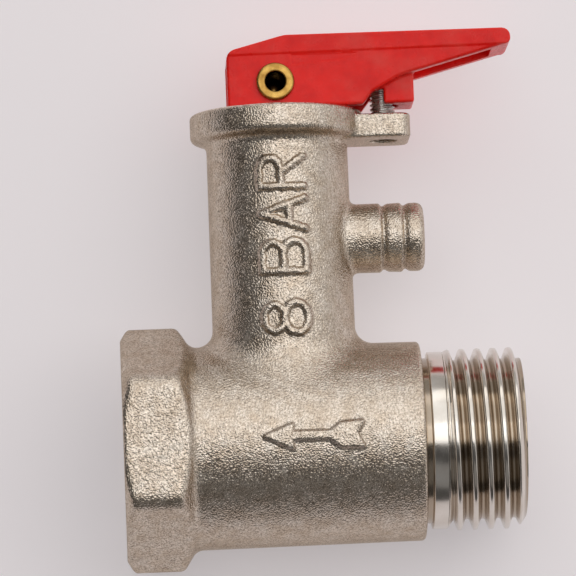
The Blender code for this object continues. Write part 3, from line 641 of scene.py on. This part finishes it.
NICKEL_WARM = (0.62, 0.52, 0.42)
NICKEL_BRIGHT = (0.86, 0.785, 0.70)
NICKEL_PIT = (0.27, 0.21, 0.15)
cast_nickel, tree, shader, place = new_material("blasted_nickel_plate")
grain = use_group(tree, blast_grain, {"Place": place, "Grain Size": 0.00018, "Fine Share": 0.4})
rings = use_group(tree, turning_lines, {"Place": place, "Line Pitch": 0.00012})
machined = node(tree, "ShaderNodeAttribute", attribute_name="machined").outputs["Fac"]
# Painted highlight: the next mask is 1 on sharp outer edges, and the plate colour is made lighter there,
# standing in for the light that the edges catch.
painted_edge_highlight = node(tree, "ShaderNodeAttribute", attribute_name="painted_edge_highlight").outputs["Fac"]
tone = spread(tree, grain["Patches"], 0.0, 0.7)
brightness = maths(tree, "MAXIMUM", maths(tree, "MAXIMUM", tone, painted_edge_highlight), machined)
plate = mixed_colour(tree, brightness, NICKEL_WARM, NICKEL_BRIGHT)
blasted = maths(tree, "SUBTRACT", 1.0, machined)
pit_shade = maths(tree, "MULTIPLY", spread(tree, grain["Sparkle"], 0.62, 0.0, 0.32, 0.6), blasted)
tree.links.new(mixed_colour(tree, pit_shade, plate, NICKEL_PIT), shader.inputs["Base Color"])
blasted_roughness = spread(tree, grain["Patches"], 0.20, 0.28)
roughness = node(tree, "ShaderNodeMix", {0: machined, 2: blasted_roughness, 3: 0.2}).outputs[0]
tree.links.new(roughness, shader.inputs["Roughness"])
rough_height = maths(tree, "MULTIPLY", grain["Height"], blasted)
ring_height = maths(tree, "MULTIPLY", maths(tree, "MULTIPLY", rings["Height"], 0.12), machined)
embossed(tree, shader, maths(tree, "ADD", rough_height, ring_height), 0.00008, 1.0)
shader.inputs["Metallic"].default_value = 1.0
shader.inputs["Specular Tint"].default_value = (0.70, 0.64, 0.57, 1.0)

casting_low = (-1.2 * MM, -13.7 * MM, -15.7 * MM)
casting_high = (36.8 * MM, 13.8 * MM, 39.8 * MM)
build = skin(casting_distance, casting_low, casting_high, 0.5 * MM, casting_fine_edges)
machined_values = []
for vert in build.verts:
    x, y, z = vert.co / MM
    end_face = abs(vert.normal.x) > 0.9 and (x < 0.5 or x > 34.2) and math.hypot(y, z) < 12.6
    flange_top = z > 38.5 and vert.normal.z > 0.6
    in_pipe = x < 34.6 and math.hypot(y, z) < 10.8
    in_tower = math.hypot(x - TOWER_X / MM, y) < 7.8 and z > 5.0
    in_barb = math.hypot(y, z - BARB_Z / MM) < 2.7 and x > 25.0
    machined_values.append(float(end_face or flange_top or in_pipe or in_tower or in_barb))
# Painted highlight mask for the plate colour: 1 where a point stands out as a sharp outer edge.
casting_edge_highlight_values = sharpness(build, 0.35 * MM)
casting = finished(
    build, "body_casting", cast_nickel, {"machined": machined_values, "painted_edge_highlight": casting_edge_highlight_values}
)
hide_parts("valve_body")
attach(casting, "valve")


# ---------------------------------------------------------------------------------------------
# Pipe threads. G 1/2, cut on the casting's two ends, bright and nickel plated. A plain collar,
# with a groove behind it, closes off the male thread. The female thread is in the hexagon.
# ---------------------------------------------------------------------------------------------
PIPE_PITCH = 1.814 * MM
PIPE_MAJOR = 20.955 / 2 * MM
PIPE_MINOR = 18.631 / 2 * MM

thread_tree = bpy.data.node_groups.new("helical_thread", "GeometryNodeTree")
THREAD_INPUTS = ("Start", "End", "Pitch", "Crest Radius", "Root Radius", "Shoulder Radius", "Wall Radius")
THREAD_INPUTS += ("Runout", "Chamfer")
for label in THREAD_INPUTS:
    thread_tree.interface.new_socket(label, in_out="INPUT", socket_type="NodeSocketFloat")
for label in ("Segments", "Steps per Turn"):
    thread_tree.interface.new_socket(label, in_out="INPUT", socket_type="NodeSocketInt")
thread_tree.interface.new_socket("Material", in_out="INPUT", socket_type="NodeSocketMaterial")
thread_tree.interface.new_socket("Geometry", in_out="OUTPUT", socket_type="NodeSocketGeometry")
given = thread_tree.nodes.new("NodeGroupInput").outputs
reckon = functools.partial(maths, thread_tree)
length = reckon("SUBTRACT", given["End"], given["Start"])
turns = reckon("CEIL", reckon("DIVIDE", length, given["Pitch"]))
turns = reckon("ADD", turns, 1.0)
columns = reckon("MULTIPLY", turns, given["Steps per Turn"])
reach = reckon("MULTIPLY", turns, given["Pitch"])
grid = node(
    thread_tree,
    "GeometryNodeMeshGrid",
    {
        "Size X": reach,
        "Size Y": math.tau,
        "Vertices X": reckon("ADD", columns, 1.0),
        "Vertices Y": reckon("ADD", given["Segments"], 1.0),
    },
).outputs["Mesh"]
flat_place = node(
    thread_tree, "ShaderNodeSeparateXYZ", {0: thread_tree.nodes.new("GeometryNodeInputPosition").outputs[0]}
).outputs
angle = reckon("ADD", flat_place["Y"], math.pi)
climb = reckon("MULTIPLY", given["Pitch"], reckon("DIVIDE", angle, math.tau))
along = reckon("ADD", flat_place["X"], reckon("MULTIPLY", reach, 0.5))
along = reckon("ADD", along, reckon("SUBTRACT", given["Start"], given["Pitch"]))
along = reckon("ADD", along, climb)
along = node(
    thread_tree, "ShaderNodeClamp", {"Value": along, "Min": given["Start"], "Max": given["End"]}
).outputs[0]
turn_share = reckon("SUBTRACT", reckon("SUBTRACT", along, climb), given["Start"])
turn_share = reckon("DIVIDE", turn_share, given["Pitch"])
turn_share = reckon("FRACT", turn_share)
ridge = reckon("SUBTRACT", reckon("MULTIPLY", turn_share, 2.0), 1.0)
ridge = reckon("ABSOLUTE", ridge)
ridge = node(
    thread_tree,
    "ShaderNodeMapRange",
    {"Value": ridge, 1: 0.14, 2: 0.82, 3: 0.0, 4: 1.0},
    interpolation_type="SMOOTHSTEP",
).outputs["Result"]
fade_in = reckon("DIVIDE", reckon("SUBTRACT", along, given["Start"]), given["Runout"])
fade_out = reckon("DIVIDE", reckon("SUBTRACT", given["End"], along), given["Chamfer"])
fade_in = reckon("MINIMUM", fade_in, 1.0)
fade_out = reckon("MINIMUM", fade_out, 1.0)
depth = reckon("SUBTRACT", given["Crest Radius"], given["Root Radius"])
radius = maths(
    thread_tree,
    "ADD",
    given["Root Radius"],
    reckon("MULTIPLY", depth, reckon("MULTIPLY", ridge, fade_out)),
)
above = reckon("SUBTRACT", radius, given["Shoulder Radius"])
radius = reckon("ADD", given["Shoulder Radius"], reckon("MULTIPLY", above, fade_in))


def round_the_axis(tree, along, radius, angle):
    return node(
        tree,
        "ShaderNodeCombineXYZ",
        {
            "X": along,
            "Y": maths(tree, "MULTIPLY", radius, maths(tree, "COSINE", angle)),
            "Z": maths(tree, "MULTIPLY", radius, maths(tree, "SINE", angle)),
        },
    ).outputs[0]


wound = node(
    thread_tree,
    "GeometryNodeSetPosition",
    {"Geometry": grid, "Position": round_the_axis(thread_tree, along, radius, angle)},
).outputs[0]
weld = reckon("MULTIPLY", given["Pitch"], 0.002)
wound = node(thread_tree, "GeometryNodeMergeByDistance", {"Geometry": wound, "Distance": weld}).outputs[0]
faces_round = thread_tree.nodes.new("GeometryNodeInputMeshEdgeNeighbors").outputs[0]
at_rim = node(
    thread_tree, "FunctionNodeCompare", {2: faces_round, 3: 1}, data_type="INT", operation="EQUAL"
).outputs[0]
rims = node(
    thread_tree,
    "GeometryNodeExtrudeMesh",
    {"Mesh": wound, "Selection": at_rim, "Offset Scale": 0.0},
    mode="EDGES",
).outputs
rim_place = node(
    thread_tree, "ShaderNodeSeparateXYZ", {0: thread_tree.nodes.new("GeometryNodeInputPosition").outputs[0]}
).outputs
rim_angle = reckon("ARCTAN2", rim_place["Z"], rim_place["Y"])
capped = node(
    thread_tree,
    "GeometryNodeSetPosition",
    {
        "Geometry": rims["Mesh"],
        "Selection": rims["Top"],
        "Position": round_the_axis(thread_tree, rim_place["X"], given["Wall Radius"], rim_angle),
    },
).outputs[0]
wall = node(
    thread_tree,
    "GeometryNodeMeshCylinder",
    {"Vertices": given["Segments"], "Radius": given["Wall Radius"], "Depth": length},
    fill_type="NONE",
).outputs["Mesh"]
middle = reckon("MULTIPLY", reckon("ADD", given["Start"], given["End"]), 0.5)
wall = node(
    thread_tree,
    "GeometryNodeTransform",
    {
        "Geometry": wall,
        "Translation": node(thread_tree, "ShaderNodeCombineXYZ", {"X": middle}).outputs[0],
        "Rotation": (0.0, math.pi / 2, 0.0),
    },
).outputs[0]
joined = thread_tree.nodes.new("GeometryNodeJoinGeometry")
thread_tree.links.new(capped, joined.inputs[0])
thread_tree.links.new(wall, joined.inputs[0])
closed = node(
    thread_tree, "GeometryNodeMergeByDistance", {"Geometry": joined.outputs[0], "Distance": weld}
).outputs[0]
realized = node(thread_tree, "GeometryNodeRealizeInstances", {0: closed}).outputs[0]
coated = node(
    thread_tree, "GeometryNodeSetMaterial", {"Geometry": realized, "Material": given["Material"]}
).outputs[0]
thread_tree.links.new(coated, thread_tree.nodes.new("NodeGroupOutput").inputs["Geometry"])


def grown(tree, name, values):
    """A plain mesh object made by the Geometry Nodes tree with the named values."""
    seed_mesh = bpy.data.objects.new("seed_" + name, bpy.data.meshes.new("seed_" + name))
    bpy.context.scene.collection.objects.link(seed_mesh)
    modifier = seed_mesh.modifiers.new(name, "NODES")
    modifier.node_group = tree
    for item in tree.interface.items_tree:
        if item.item_type == "SOCKET" and item.in_out == "INPUT" and item.name in values:
            modifier[item.identifier] = values[item.name]
    bpy.context.view_layer.update()
    evaluated = seed_mesh.evaluated_get(bpy.context.evaluated_depsgraph_get())
    mesh = bpy.data.meshes.new_from_object(evaluated)
    bpy.data.objects.remove(seed_mesh)
    build = bmesh.new()
    build.from_mesh(mesh)
    open_rim = [edge for edge in build.edges if edge.is_boundary]
    bmesh.ops.holes_fill(build, edges=open_rim, sides=0)
    bmesh.ops.recalc_face_normals(build, faces=build.faces)
    build.to_mesh(mesh)
    build.free()
    mesh.name = name
    mesh.shade_smooth()
    piece = bpy.data.objects.new(name, mesh)
    bpy.context.scene.collection.objects.link(piece)
    return piece


def lathed(name, profile, material, steps=96, turn=None):
    """A closed ring or disc turned round X from a closed outline of (along, radius) in metres."""
    build = bmesh.new()
    verts = [build.verts.new((along, radius, 0.0)) for along, radius in profile]
    for first, second in zip(verts, verts[1:] + verts[:1]):
        build.edges.new((first, second))
    bmesh.ops.spin(
        build,
        geom=build.verts[:] + build.edges[:],
        cent=(0.0, 0.0, 0.0),
        axis=(1.0, 0.0, 0.0),
        angle=math.tau,
        steps=steps,
        use_merge=True,
        use_duplicate=False,
    )
    bmesh.ops.remove_doubles(build, verts=build.verts, dist=0.001 * MM)
    bmesh.ops.dissolve_degenerate(build, edges=build.edges, dist=0.001 * MM)
    loose = [edge for edge in build.edges if not edge.link_faces]
    bmesh.ops.delete(build, geom=loose, context="EDGES")
    bmesh.ops.recalc_face_normals(build, faces=build.faces)
    if turn is not None:
        build.transform(turn)
    return finished(build, name, material)


thread_nickel, tree, shader, place = new_material("machined_nickel_plate")
rings = use_group(tree, turning_lines, {"Place": place, "Line Pitch": 0.00009})
tone = spread(tree, rings["Smudge"], 0.0, 1.0)
bright_plate = mixed_colour(tree, tone, (0.66, 0.60, 0.53), (0.82, 0.78, 0.73))
# Painted shade: wherever the surface lies within 9.95 mm of the X axis, as in the male thread's roots and the
# collar's groove, the colour is darkened towards brown-black, standing in for the shade there.
root_painted_shade = spread(tree, rings["Radius"], 0.8, 0.0, 9.55 * MM, 9.95 * MM)
tree.links.new(mixed_colour(tree, root_painted_shade, bright_plate, (0.34, 0.26, 0.18)), shader.inputs["Base Color"])
tree.links.new(spread(tree, rings["Smudge"], 0.12, 0.24), shader.inputs["Roughness"])
embossed(tree, shader, rings["Height"], 0.00001, 0.6)
shader.inputs["Metallic"].default_value = 1.0

collar_profile = outline(
    [(34.3, 7.0), (34.3, 9.55, 0.15), (35.3, 9.55, 0.12), (35.35, 10.25, 0.1), (37.0, 10.25, 0.06)]
    + [(37.0, 7.0)]
)
collar = lathed("thread_collar", collar_profile, thread_nickel, 128)
male_thread = grown(
    thread_tree,
    "male_thread",
    {
        "Start": 37.08 * MM,
        "End": 46.1 * MM,
        "Pitch": PIPE_PITCH,
        "Crest Radius": PIPE_MAJOR,
        "Root Radius": PIPE_MINOR - 0.1 * MM,
        "Shoulder Radius": 10.2 * MM,
        "Wall Radius": 7.0 * MM,
        "Runout": 0.7 * MM,
        "Chamfer": 0.9 * MM,
        "Segments": 128,
        "Steps per Turn": 16,
        "Material": thread_nickel,
    },
)
port_thread = grown(
    thread_tree,
    "port_thread",
    {
        "Start": 0.5 * MM,
        "End": 10.9 * MM,
        "Pitch": PIPE_PITCH,
        "Crest Radius": PIPE_MINOR,
        "Root Radius": 10.4 * MM,
        "Shoulder Radius": 10.4 * MM,
        "Wall Radius": 11.0 * MM,
        "Runout": 0.8 * MM,
        "Chamfer": 1.2 * MM,
        "Segments": 96,
        "Steps per Turn": 12,
        "Material": thread_nickel,
    },
)
for piece in (collar, male_thread, port_thread):
    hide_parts("valve_body")
    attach(piece, "valve")


# ---------------------------------------------------------------------------------------------
# Test lever. Glossy red plastic, moulded in one shot: two cheeks under a raised top band, a long
# finger tail, and half a sleeve that guides the lock screw. It turns on the eyelet.
# ---------------------------------------------------------------------------------------------
lever_low, lever_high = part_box("release_lever")
PIN_Z = 41.9 * MM
CHEEK_HALF = 4.3 * MM
BAND_HALF = 4.42 * MM
CHEEK_WALL = 1.6 * MM
BAND_FOOT = 45.2 * MM
HEEL = lever_low.z / MM
TAIL = lever_high.x / MM - 0.03
CROWN = lever_high.z / MM

lever_side = outline(
    [(13.45, HEEL, 0.5), (13.45, 45.6, 1.3), (20.2, CROWN, 4.0), (TAIL, CROWN, 1.0)]
    + [(TAIL, 45.6, 0.7), (45.3, 45.35, 0.5), (33.5, 42.2, 2.5), (30.2, 40.4, 1.5)]
    + [(29.1, HEEL, 0.3)]
)
channel_side = outline(
    [(10.0, 37.0), (10.0, 43.9), (20.0, 45.95, 3.0), (44.3, 45.95, 0.4), (44.3, 40.0), (40.0, 37.0)]
)
sunk_side = outline([(21.0, 43.9), (21.0, 45.0), (28.6, 45.0), (27.0, 44.3)])
SLEEVE_LOW = (SCREW_X + 0.1 * MM, -3.1 * MM, 39.2 * MM)
SLEEVE_HIGH = (35.1 * MM, 3.1 * MM, 46.3 * MM)
WEB_LOW = (SCREW_X - 2.4 * MM, -3.1 * MM, 40.9 * MM)
WEB_HIGH = (34.7 * MM, 3.1 * MM, 42.0 * MM)


def lever_distance(x, y, z):
    across = np.abs(y)
    side = flat_distance(x, z, lever_side)
    cheeks = trimmed(side, across - CHEEK_HALF, 0.35 * MM)
    band_foot = BAND_FOOT + 0.01 * (x - TOWER_X) - z
    band = trimmed(np.maximum(side, band_foot), across - BAND_HALF, 0.12 * MM)
    solid = blended(cheeks, band, 0.06 * MM)
    sunk = np.maximum(flat_distance(x, z, sunk_side), CHEEK_HALF - 0.05 * MM - across)
    solid = trimmed(solid, -sunk, 0.08 * MM)
    inside = across - CHEEK_HALF + CHEEK_WALL
    solid = trimmed(solid, -trimmed(flat_distance(x, z, channel_side), inside, 0.3 * MM), 0.15 * MM)
    sleeve = block_distance(x, y, z, SLEEVE_LOW, SLEEVE_HIGH, 0.3 * MM)
    web = block_distance(x, y, z, WEB_LOW, WEB_HIGH, 0.2 * MM)
    solid = blended(solid, np.minimum(sleeve, web), 0.3 * MM)
    solid = np.maximum(solid, z - CROWN * MM)
    screw_r = np.hypot(x - SCREW_X, y)
    holes = np.maximum(screw_r - 2.65 * MM, 42.0 * MM - z)
    holes = np.minimum(holes, screw_r - 1.85 * MM)
    holes = np.minimum(holes, np.hypot(x - TOWER_X, z - PIN_Z) - 1.8 * MM)
    return trimmed(solid, -holes, 0.12 * MM)


LEVER_ANGLES = (10, 18)


def lever_fine_edges(build, level):
    if level == len(LEVER_ANGLES):
        return set()
    return bent_edges(build, math.radians(LEVER_ANGLES[level]), 0.14 * MM)


red_plastic, tree, shader, place = new_material("glossy_red_moulding")
clouds = noise(tree, place, 420.0, 5.0, Roughness=0.6)
scuffs = noise(tree, place, 1500.0, 3.0)
flow = spread(tree, clouds, 0.0, 1.0, 0.35, 0.68)
# Painted highlight: the next mask is 1 on sharp outer edges, where the red is mixed towards a lighter red,
# standing in for the highlight lines that the edges catch.
lever_edge_highlight = node(tree, "ShaderNodeAttribute", attribute_name="painted_edge_highlight").outputs["Fac"]
chalk = noise(tree, place, 190.0, 6.0, Roughness=0.62)
chalk_share = spread(tree, chalk, 0.0, 0.3, 0.5, 0.72)
base = mixed_colour(tree, flow, (0.82, 0.005, 0.003), (0.98, 0.012, 0.007))
base = mixed_colour(tree, chalk_share, base, (0.80, 0.13, 0.10))
lever_highlight_share = maths(tree, "MULTIPLY", lever_edge_highlight, 0.55)
tree.links.new(mixed_colour(tree, lever_highlight_share, base, (0.95, 0.10, 0.06)), shader.inputs["Base Color"])
tree.links.new(spread(tree, scuffs, 0.24, 0.40), shader.inputs["Roughness"])
ripple = maths(tree, "ADD", clouds, maths(tree, "MULTIPLY", scuffs, 0.25))
embossed(tree, shader, ripple, 0.00012, 0.5)
shader.inputs["Specular IOR Level"].default_value = 0.25
shader.inputs["Subsurface Weight"].default_value = 0.05
shader.inputs["Subsurface Radius"].default_value = (0.001, 0.0002, 0.0001)

margin = 0.8 * MM
build = skin(
    lever_distance,
    tuple(lever_low - Vector((margin, margin, margin))),
    tuple(lever_high + Vector((margin, margin, margin))),
    0.25 * MM,
    lever_fine_edges,
)
# Painted highlight mask for the lever's colour: 1 on sharp outer edges.
lever_edge_highlight_values = sharpness(build, 0.22 * MM)
lever = finished(build, "test_lever", red_plastic, {"painted_edge_highlight": lever_edge_highlight_values})
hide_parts("release_lever")
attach(lever, "lever")


# ---------------------------------------------------------------------------------------------
# Pivot rivet. A half-hollow brass rivet through both cheeks and the stem's eye, its hollow end
# rolled over outwards on the near side, with a flat head at the back. The lever turns on it.
# ---------------------------------------------------------------------------------------------
EYELET_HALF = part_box("lever_pin")[1].y / MM
EYELET_HEAD = 2.22
eyelet_profile = outline(
    [(-EYELET_HALF, 1.2, 0.2), (-EYELET_HALF, EYELET_HEAD, 0.35), (-4.38, EYELET_HEAD, 0.1)]
    + [(-4.38, 1.5), (4.38, 1.5), (4.38, EYELET_HEAD, 0.1), (EYELET_HALF, EYELET_HEAD, 0.3)]
    + [(EYELET_HALF, 0.0), (3.2, 0.0), (2.4, 1.1, 0.2), (-4.3, 1.1, 0.3)]
)
golden_brass, tree, shader, place = new_material("rolled_golden_brass")
handling = noise(tree, place, 900.0, 5.0)
patina = spread(tree, handling, 0.0, 1.0)
rolled_brass = mixed_colour(tree, patina, (0.34, 0.18, 0.04), (0.62, 0.39, 0.11))
from_pivot = node(tree, "ShaderNodeMapping", {"Vector": place, "Location": (-TOWER_X, 0.0, -PIN_Z)})
from_pivot = node(tree, "ShaderNodeMapping", {"Vector": from_pivot.outputs[0], "Scale": (1.0, 0.0, 1.0)})
off_axis = node(tree, "ShaderNodeVectorMath", {0: from_pivot.outputs[0]}, operation="LENGTH")
# Painted shade: inside the hollow, within 1.24 mm of the pin axis and only on the near side, the brass is
# coloured almost black, standing in for the shade deep in the hole.
hollow_painted_shade = spread(tree, off_axis.outputs["Value"], 1.0, 0.0, 1.12 * MM, 1.24 * MM)
through = node(tree, "ShaderNodeSeparateXYZ", {0: place}).outputs["Y"]
hollow_painted_shade = maths(tree, "MULTIPLY", hollow_painted_shade, spread(tree, through, 1.0, 0.0, 3.0 * MM, 3.2 * MM))
tree.links.new(mixed_colour(tree, hollow_painted_shade, rolled_brass, (0.07, 0.035, 0.012)), shader.inputs["Base Color"])
tree.links.new(spread(tree, handling, 0.34, 0.2), shader.inputs["Roughness"])
embossed(tree, shader, handling, 0.00006, 0.6)
shader.inputs["Metallic"].default_value = 1.0
on_pin_axis = Matrix.Translation((TOWER_X, 0.0, PIN_Z)) @ Matrix.Rotation(math.pi / 2, 4, "Z")
eyelet = lathed("lever_eyelet", eyelet_profile, golden_brass, 96, on_pin_axis)
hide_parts("lever_pin")
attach(eyelet, "relief_stem")


# ---------------------------------------------------------------------------------------------
# Lock screw. A small zinc-plated steel machine screw with a slotted cheese head. It stands in
# the lever's half sleeve, and screwed down into the lug it keeps the lever shut.
# ---------------------------------------------------------------------------------------------
screw_thread = grown(
    thread_tree,
    "lock_screw_thread",
    {
        "Start": 0.0,
        "End": 8.1 * MM,
        "Pitch": 0.5 * MM,
        "Crest Radius": 1.45 * MM,
        "Root Radius": 1.16 * MM,
        "Shoulder Radius": 0.0,
        "Wall Radius": 0.05 * MM,
        "Runout": 0.4 * MM,
        "Chamfer": 0.2 * MM,
        "Segments": 36,
        "Steps per Turn": 8,
        "Material": None,
    },
)
zinc_steel, tree, shader, place = new_material("zinc_plated_steel")
haze = noise(tree, place, 1200.0, 4.0)
tree.links.new(
    mixed_colour(tree, spread(tree, haze, 0.0, 1.0), (0.50, 0.49, 0.47), (0.72, 0.71, 0.69)),
    shader.inputs["Base Color"],
)
tree.links.new(spread(tree, haze, 0.2, 0.36), shader.inputs["Roughness"])
shader.inputs["Metallic"].default_value = 1.0
screw_thread.data.materials.clear()
screw_thread.data.materials.append(zinc_steel)
on_screw_axis = Matrix.Translation((SCREW_X, 0.0, screw_low.z)) @ Matrix.Rotation(-math.pi / 2, 4, "Y")
screw_thread.data.transform(on_screw_axis)
HEAD_FOOT = screw_high.z / MM - 1.6
screw_head_side = outline(
    [(HEAD_FOOT, DEEP), (HEAD_FOOT, 2.3, 0.15), (screw_high.z / MM, 2.3, 0.45)]
    + [(screw_high.z / MM, DEEP)]
)
SLOT_HALF = 0.3 * MM


def screw_head_distance(x, y, z):
    head = flat_distance(z, np.hypot(x - SCREW_X, y), screw_head_side)
    slot = np.maximum(np.abs(y) - SLOT_HALF, screw_high.z - 0.8 * MM - z)
    return trimmed(head, -slot, 0.06 * MM)


def screw_fine_edges(build, level):
    return bent_edges(build, math.radians(16), 0.1 * MM) if level == 0 else set()


build = skin(
    screw_head_distance,
    (SCREW_X - 2.9 * MM, -2.9 * MM, HEAD_FOOT * MM - 0.5 * MM),
    (SCREW_X + 2.9 * MM, 2.9 * MM, screw_high.z + 0.5 * MM),
    0.14 * MM,
    screw_fine_edges,
)
screw_head = finished(build, "lock_screw_head", zinc_steel)
for piece in (screw_thread, screw_head):
    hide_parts("lock_screw")
    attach(piece, "lock_screw")


# ---------------------------------------------------------------------------------------------
# Relief works inside the tower. A turned brass poppet with a rubber seal under a steel spring;
# a slotted brass plug, screwed in from the top, sets the spring and guides the lift stem.
# ---------------------------------------------------------------------------------------------
turned_brass, tree, shader, place = new_material("turned_brass")
centred = node(tree, "ShaderNodeMapping", {"Vector": place, "Location": (-TOWER_X, 0.0, 0.0)}).outputs[0]
level_place = node(
    tree, "ShaderNodeMapping", {"Vector": centred, "Rotation": (0.0, math.pi / 2, 0.0)}
).outputs[0]
rings = use_group(tree, turning_lines, {"Place": level_place, "Line Pitch": 0.00012})
tone = spread(tree, rings["Smudge"], 0.0, 1.0)
tree.links.new(
    mixed_colour(tree, tone, (0.56, 0.36, 0.14), (0.74, 0.53, 0.25)), shader.inputs["Base Color"]
)
tree.links.new(spread(tree, rings["Smudge"], 0.22, 0.36), shader.inputs["Roughness"])
embossed(tree, shader, rings["Height"], 0.00002, 0.8)
shader.inputs["Metallic"].default_value = 1.0

drawn_steel, tree, shader, place = new_material("drawn_spring_wire")
drawing = noise(tree, place, 2500.0, 3.0)
tree.links.new(
    mixed_colour(tree, spread(tree, drawing, 0.0, 1.0), (0.36, 0.35, 0.34), (0.56, 0.55, 0.53)),
    shader.inputs["Base Color"],
)
tree.links.new(spread(tree, drawing, 0.24, 0.42), shader.inputs["Roughness"])
shader.inputs["Metallic"].default_value = 1.0

black_rubber, tree, shader, place = new_material("moulded_black_rubber")
bloom = noise(tree, place, 1800.0, 5.0)
tree.links.new(
    mixed_colour(tree, spread(tree, bloom, 0.0, 1.0), (0.012, 0.012, 0.013), (0.035, 0.034, 0.033)),
    shader.inputs["Base Color"],
)
tree.links.new(spread(tree, bloom, 0.5, 0.75), shader.inputs["Roughness"])
embossed(tree, shader, bloom, 0.00003, 0.5)


def dress(names, material):
    """Gives kept frame nodes a finish."""
    for name in names:
        frame_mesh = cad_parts[name].data
        frame_mesh.materials.clear()
        frame_mesh.materials.append(material)


dress(("relief_poppet", "adjusting_plug", "seal_washer", "lift_stem"), turned_brass)
dress(("thrust_washer", "seal_screw"), zinc_steel)
dress(("relief_spring", "check_spring", "check_circlip"), drawn_steel)
dress(("relief_seal", "stem_o_ring", "check_o_ring", "check_seal"), black_rubber)


# ---------------------------------------------------------------------------------------------
# Non-return cartridge in the male end. White acetal housing, guide and poppet, held in the bore
# by a spring-steel ring. The mouldings are slightly matt and milky.
# ---------------------------------------------------------------------------------------------
white_acetal, tree, shader, place = new_material("white_acetal_moulding")
milk = noise(tree, place, 700.0, 4.0)
tree.links.new(
    mixed_colour(tree, spread(tree, milk, 0.0, 1.0), (0.72, 0.71, 0.66), (0.82, 0.81, 0.77)),
    shader.inputs["Base Color"],
)
tree.links.new(spread(tree, milk, 0.34, 0.5), shader.inputs["Roughness"])
embossed(tree, shader, milk, 0.00004, 0.4)
shader.inputs["Subsurface Weight"].default_value = 0.1
shader.inputs["Subsurface Radius"].default_value = (0.001, 0.001, 0.0008)
dress(("check_housing", "check_guide", "check_poppet"), white_acetal)
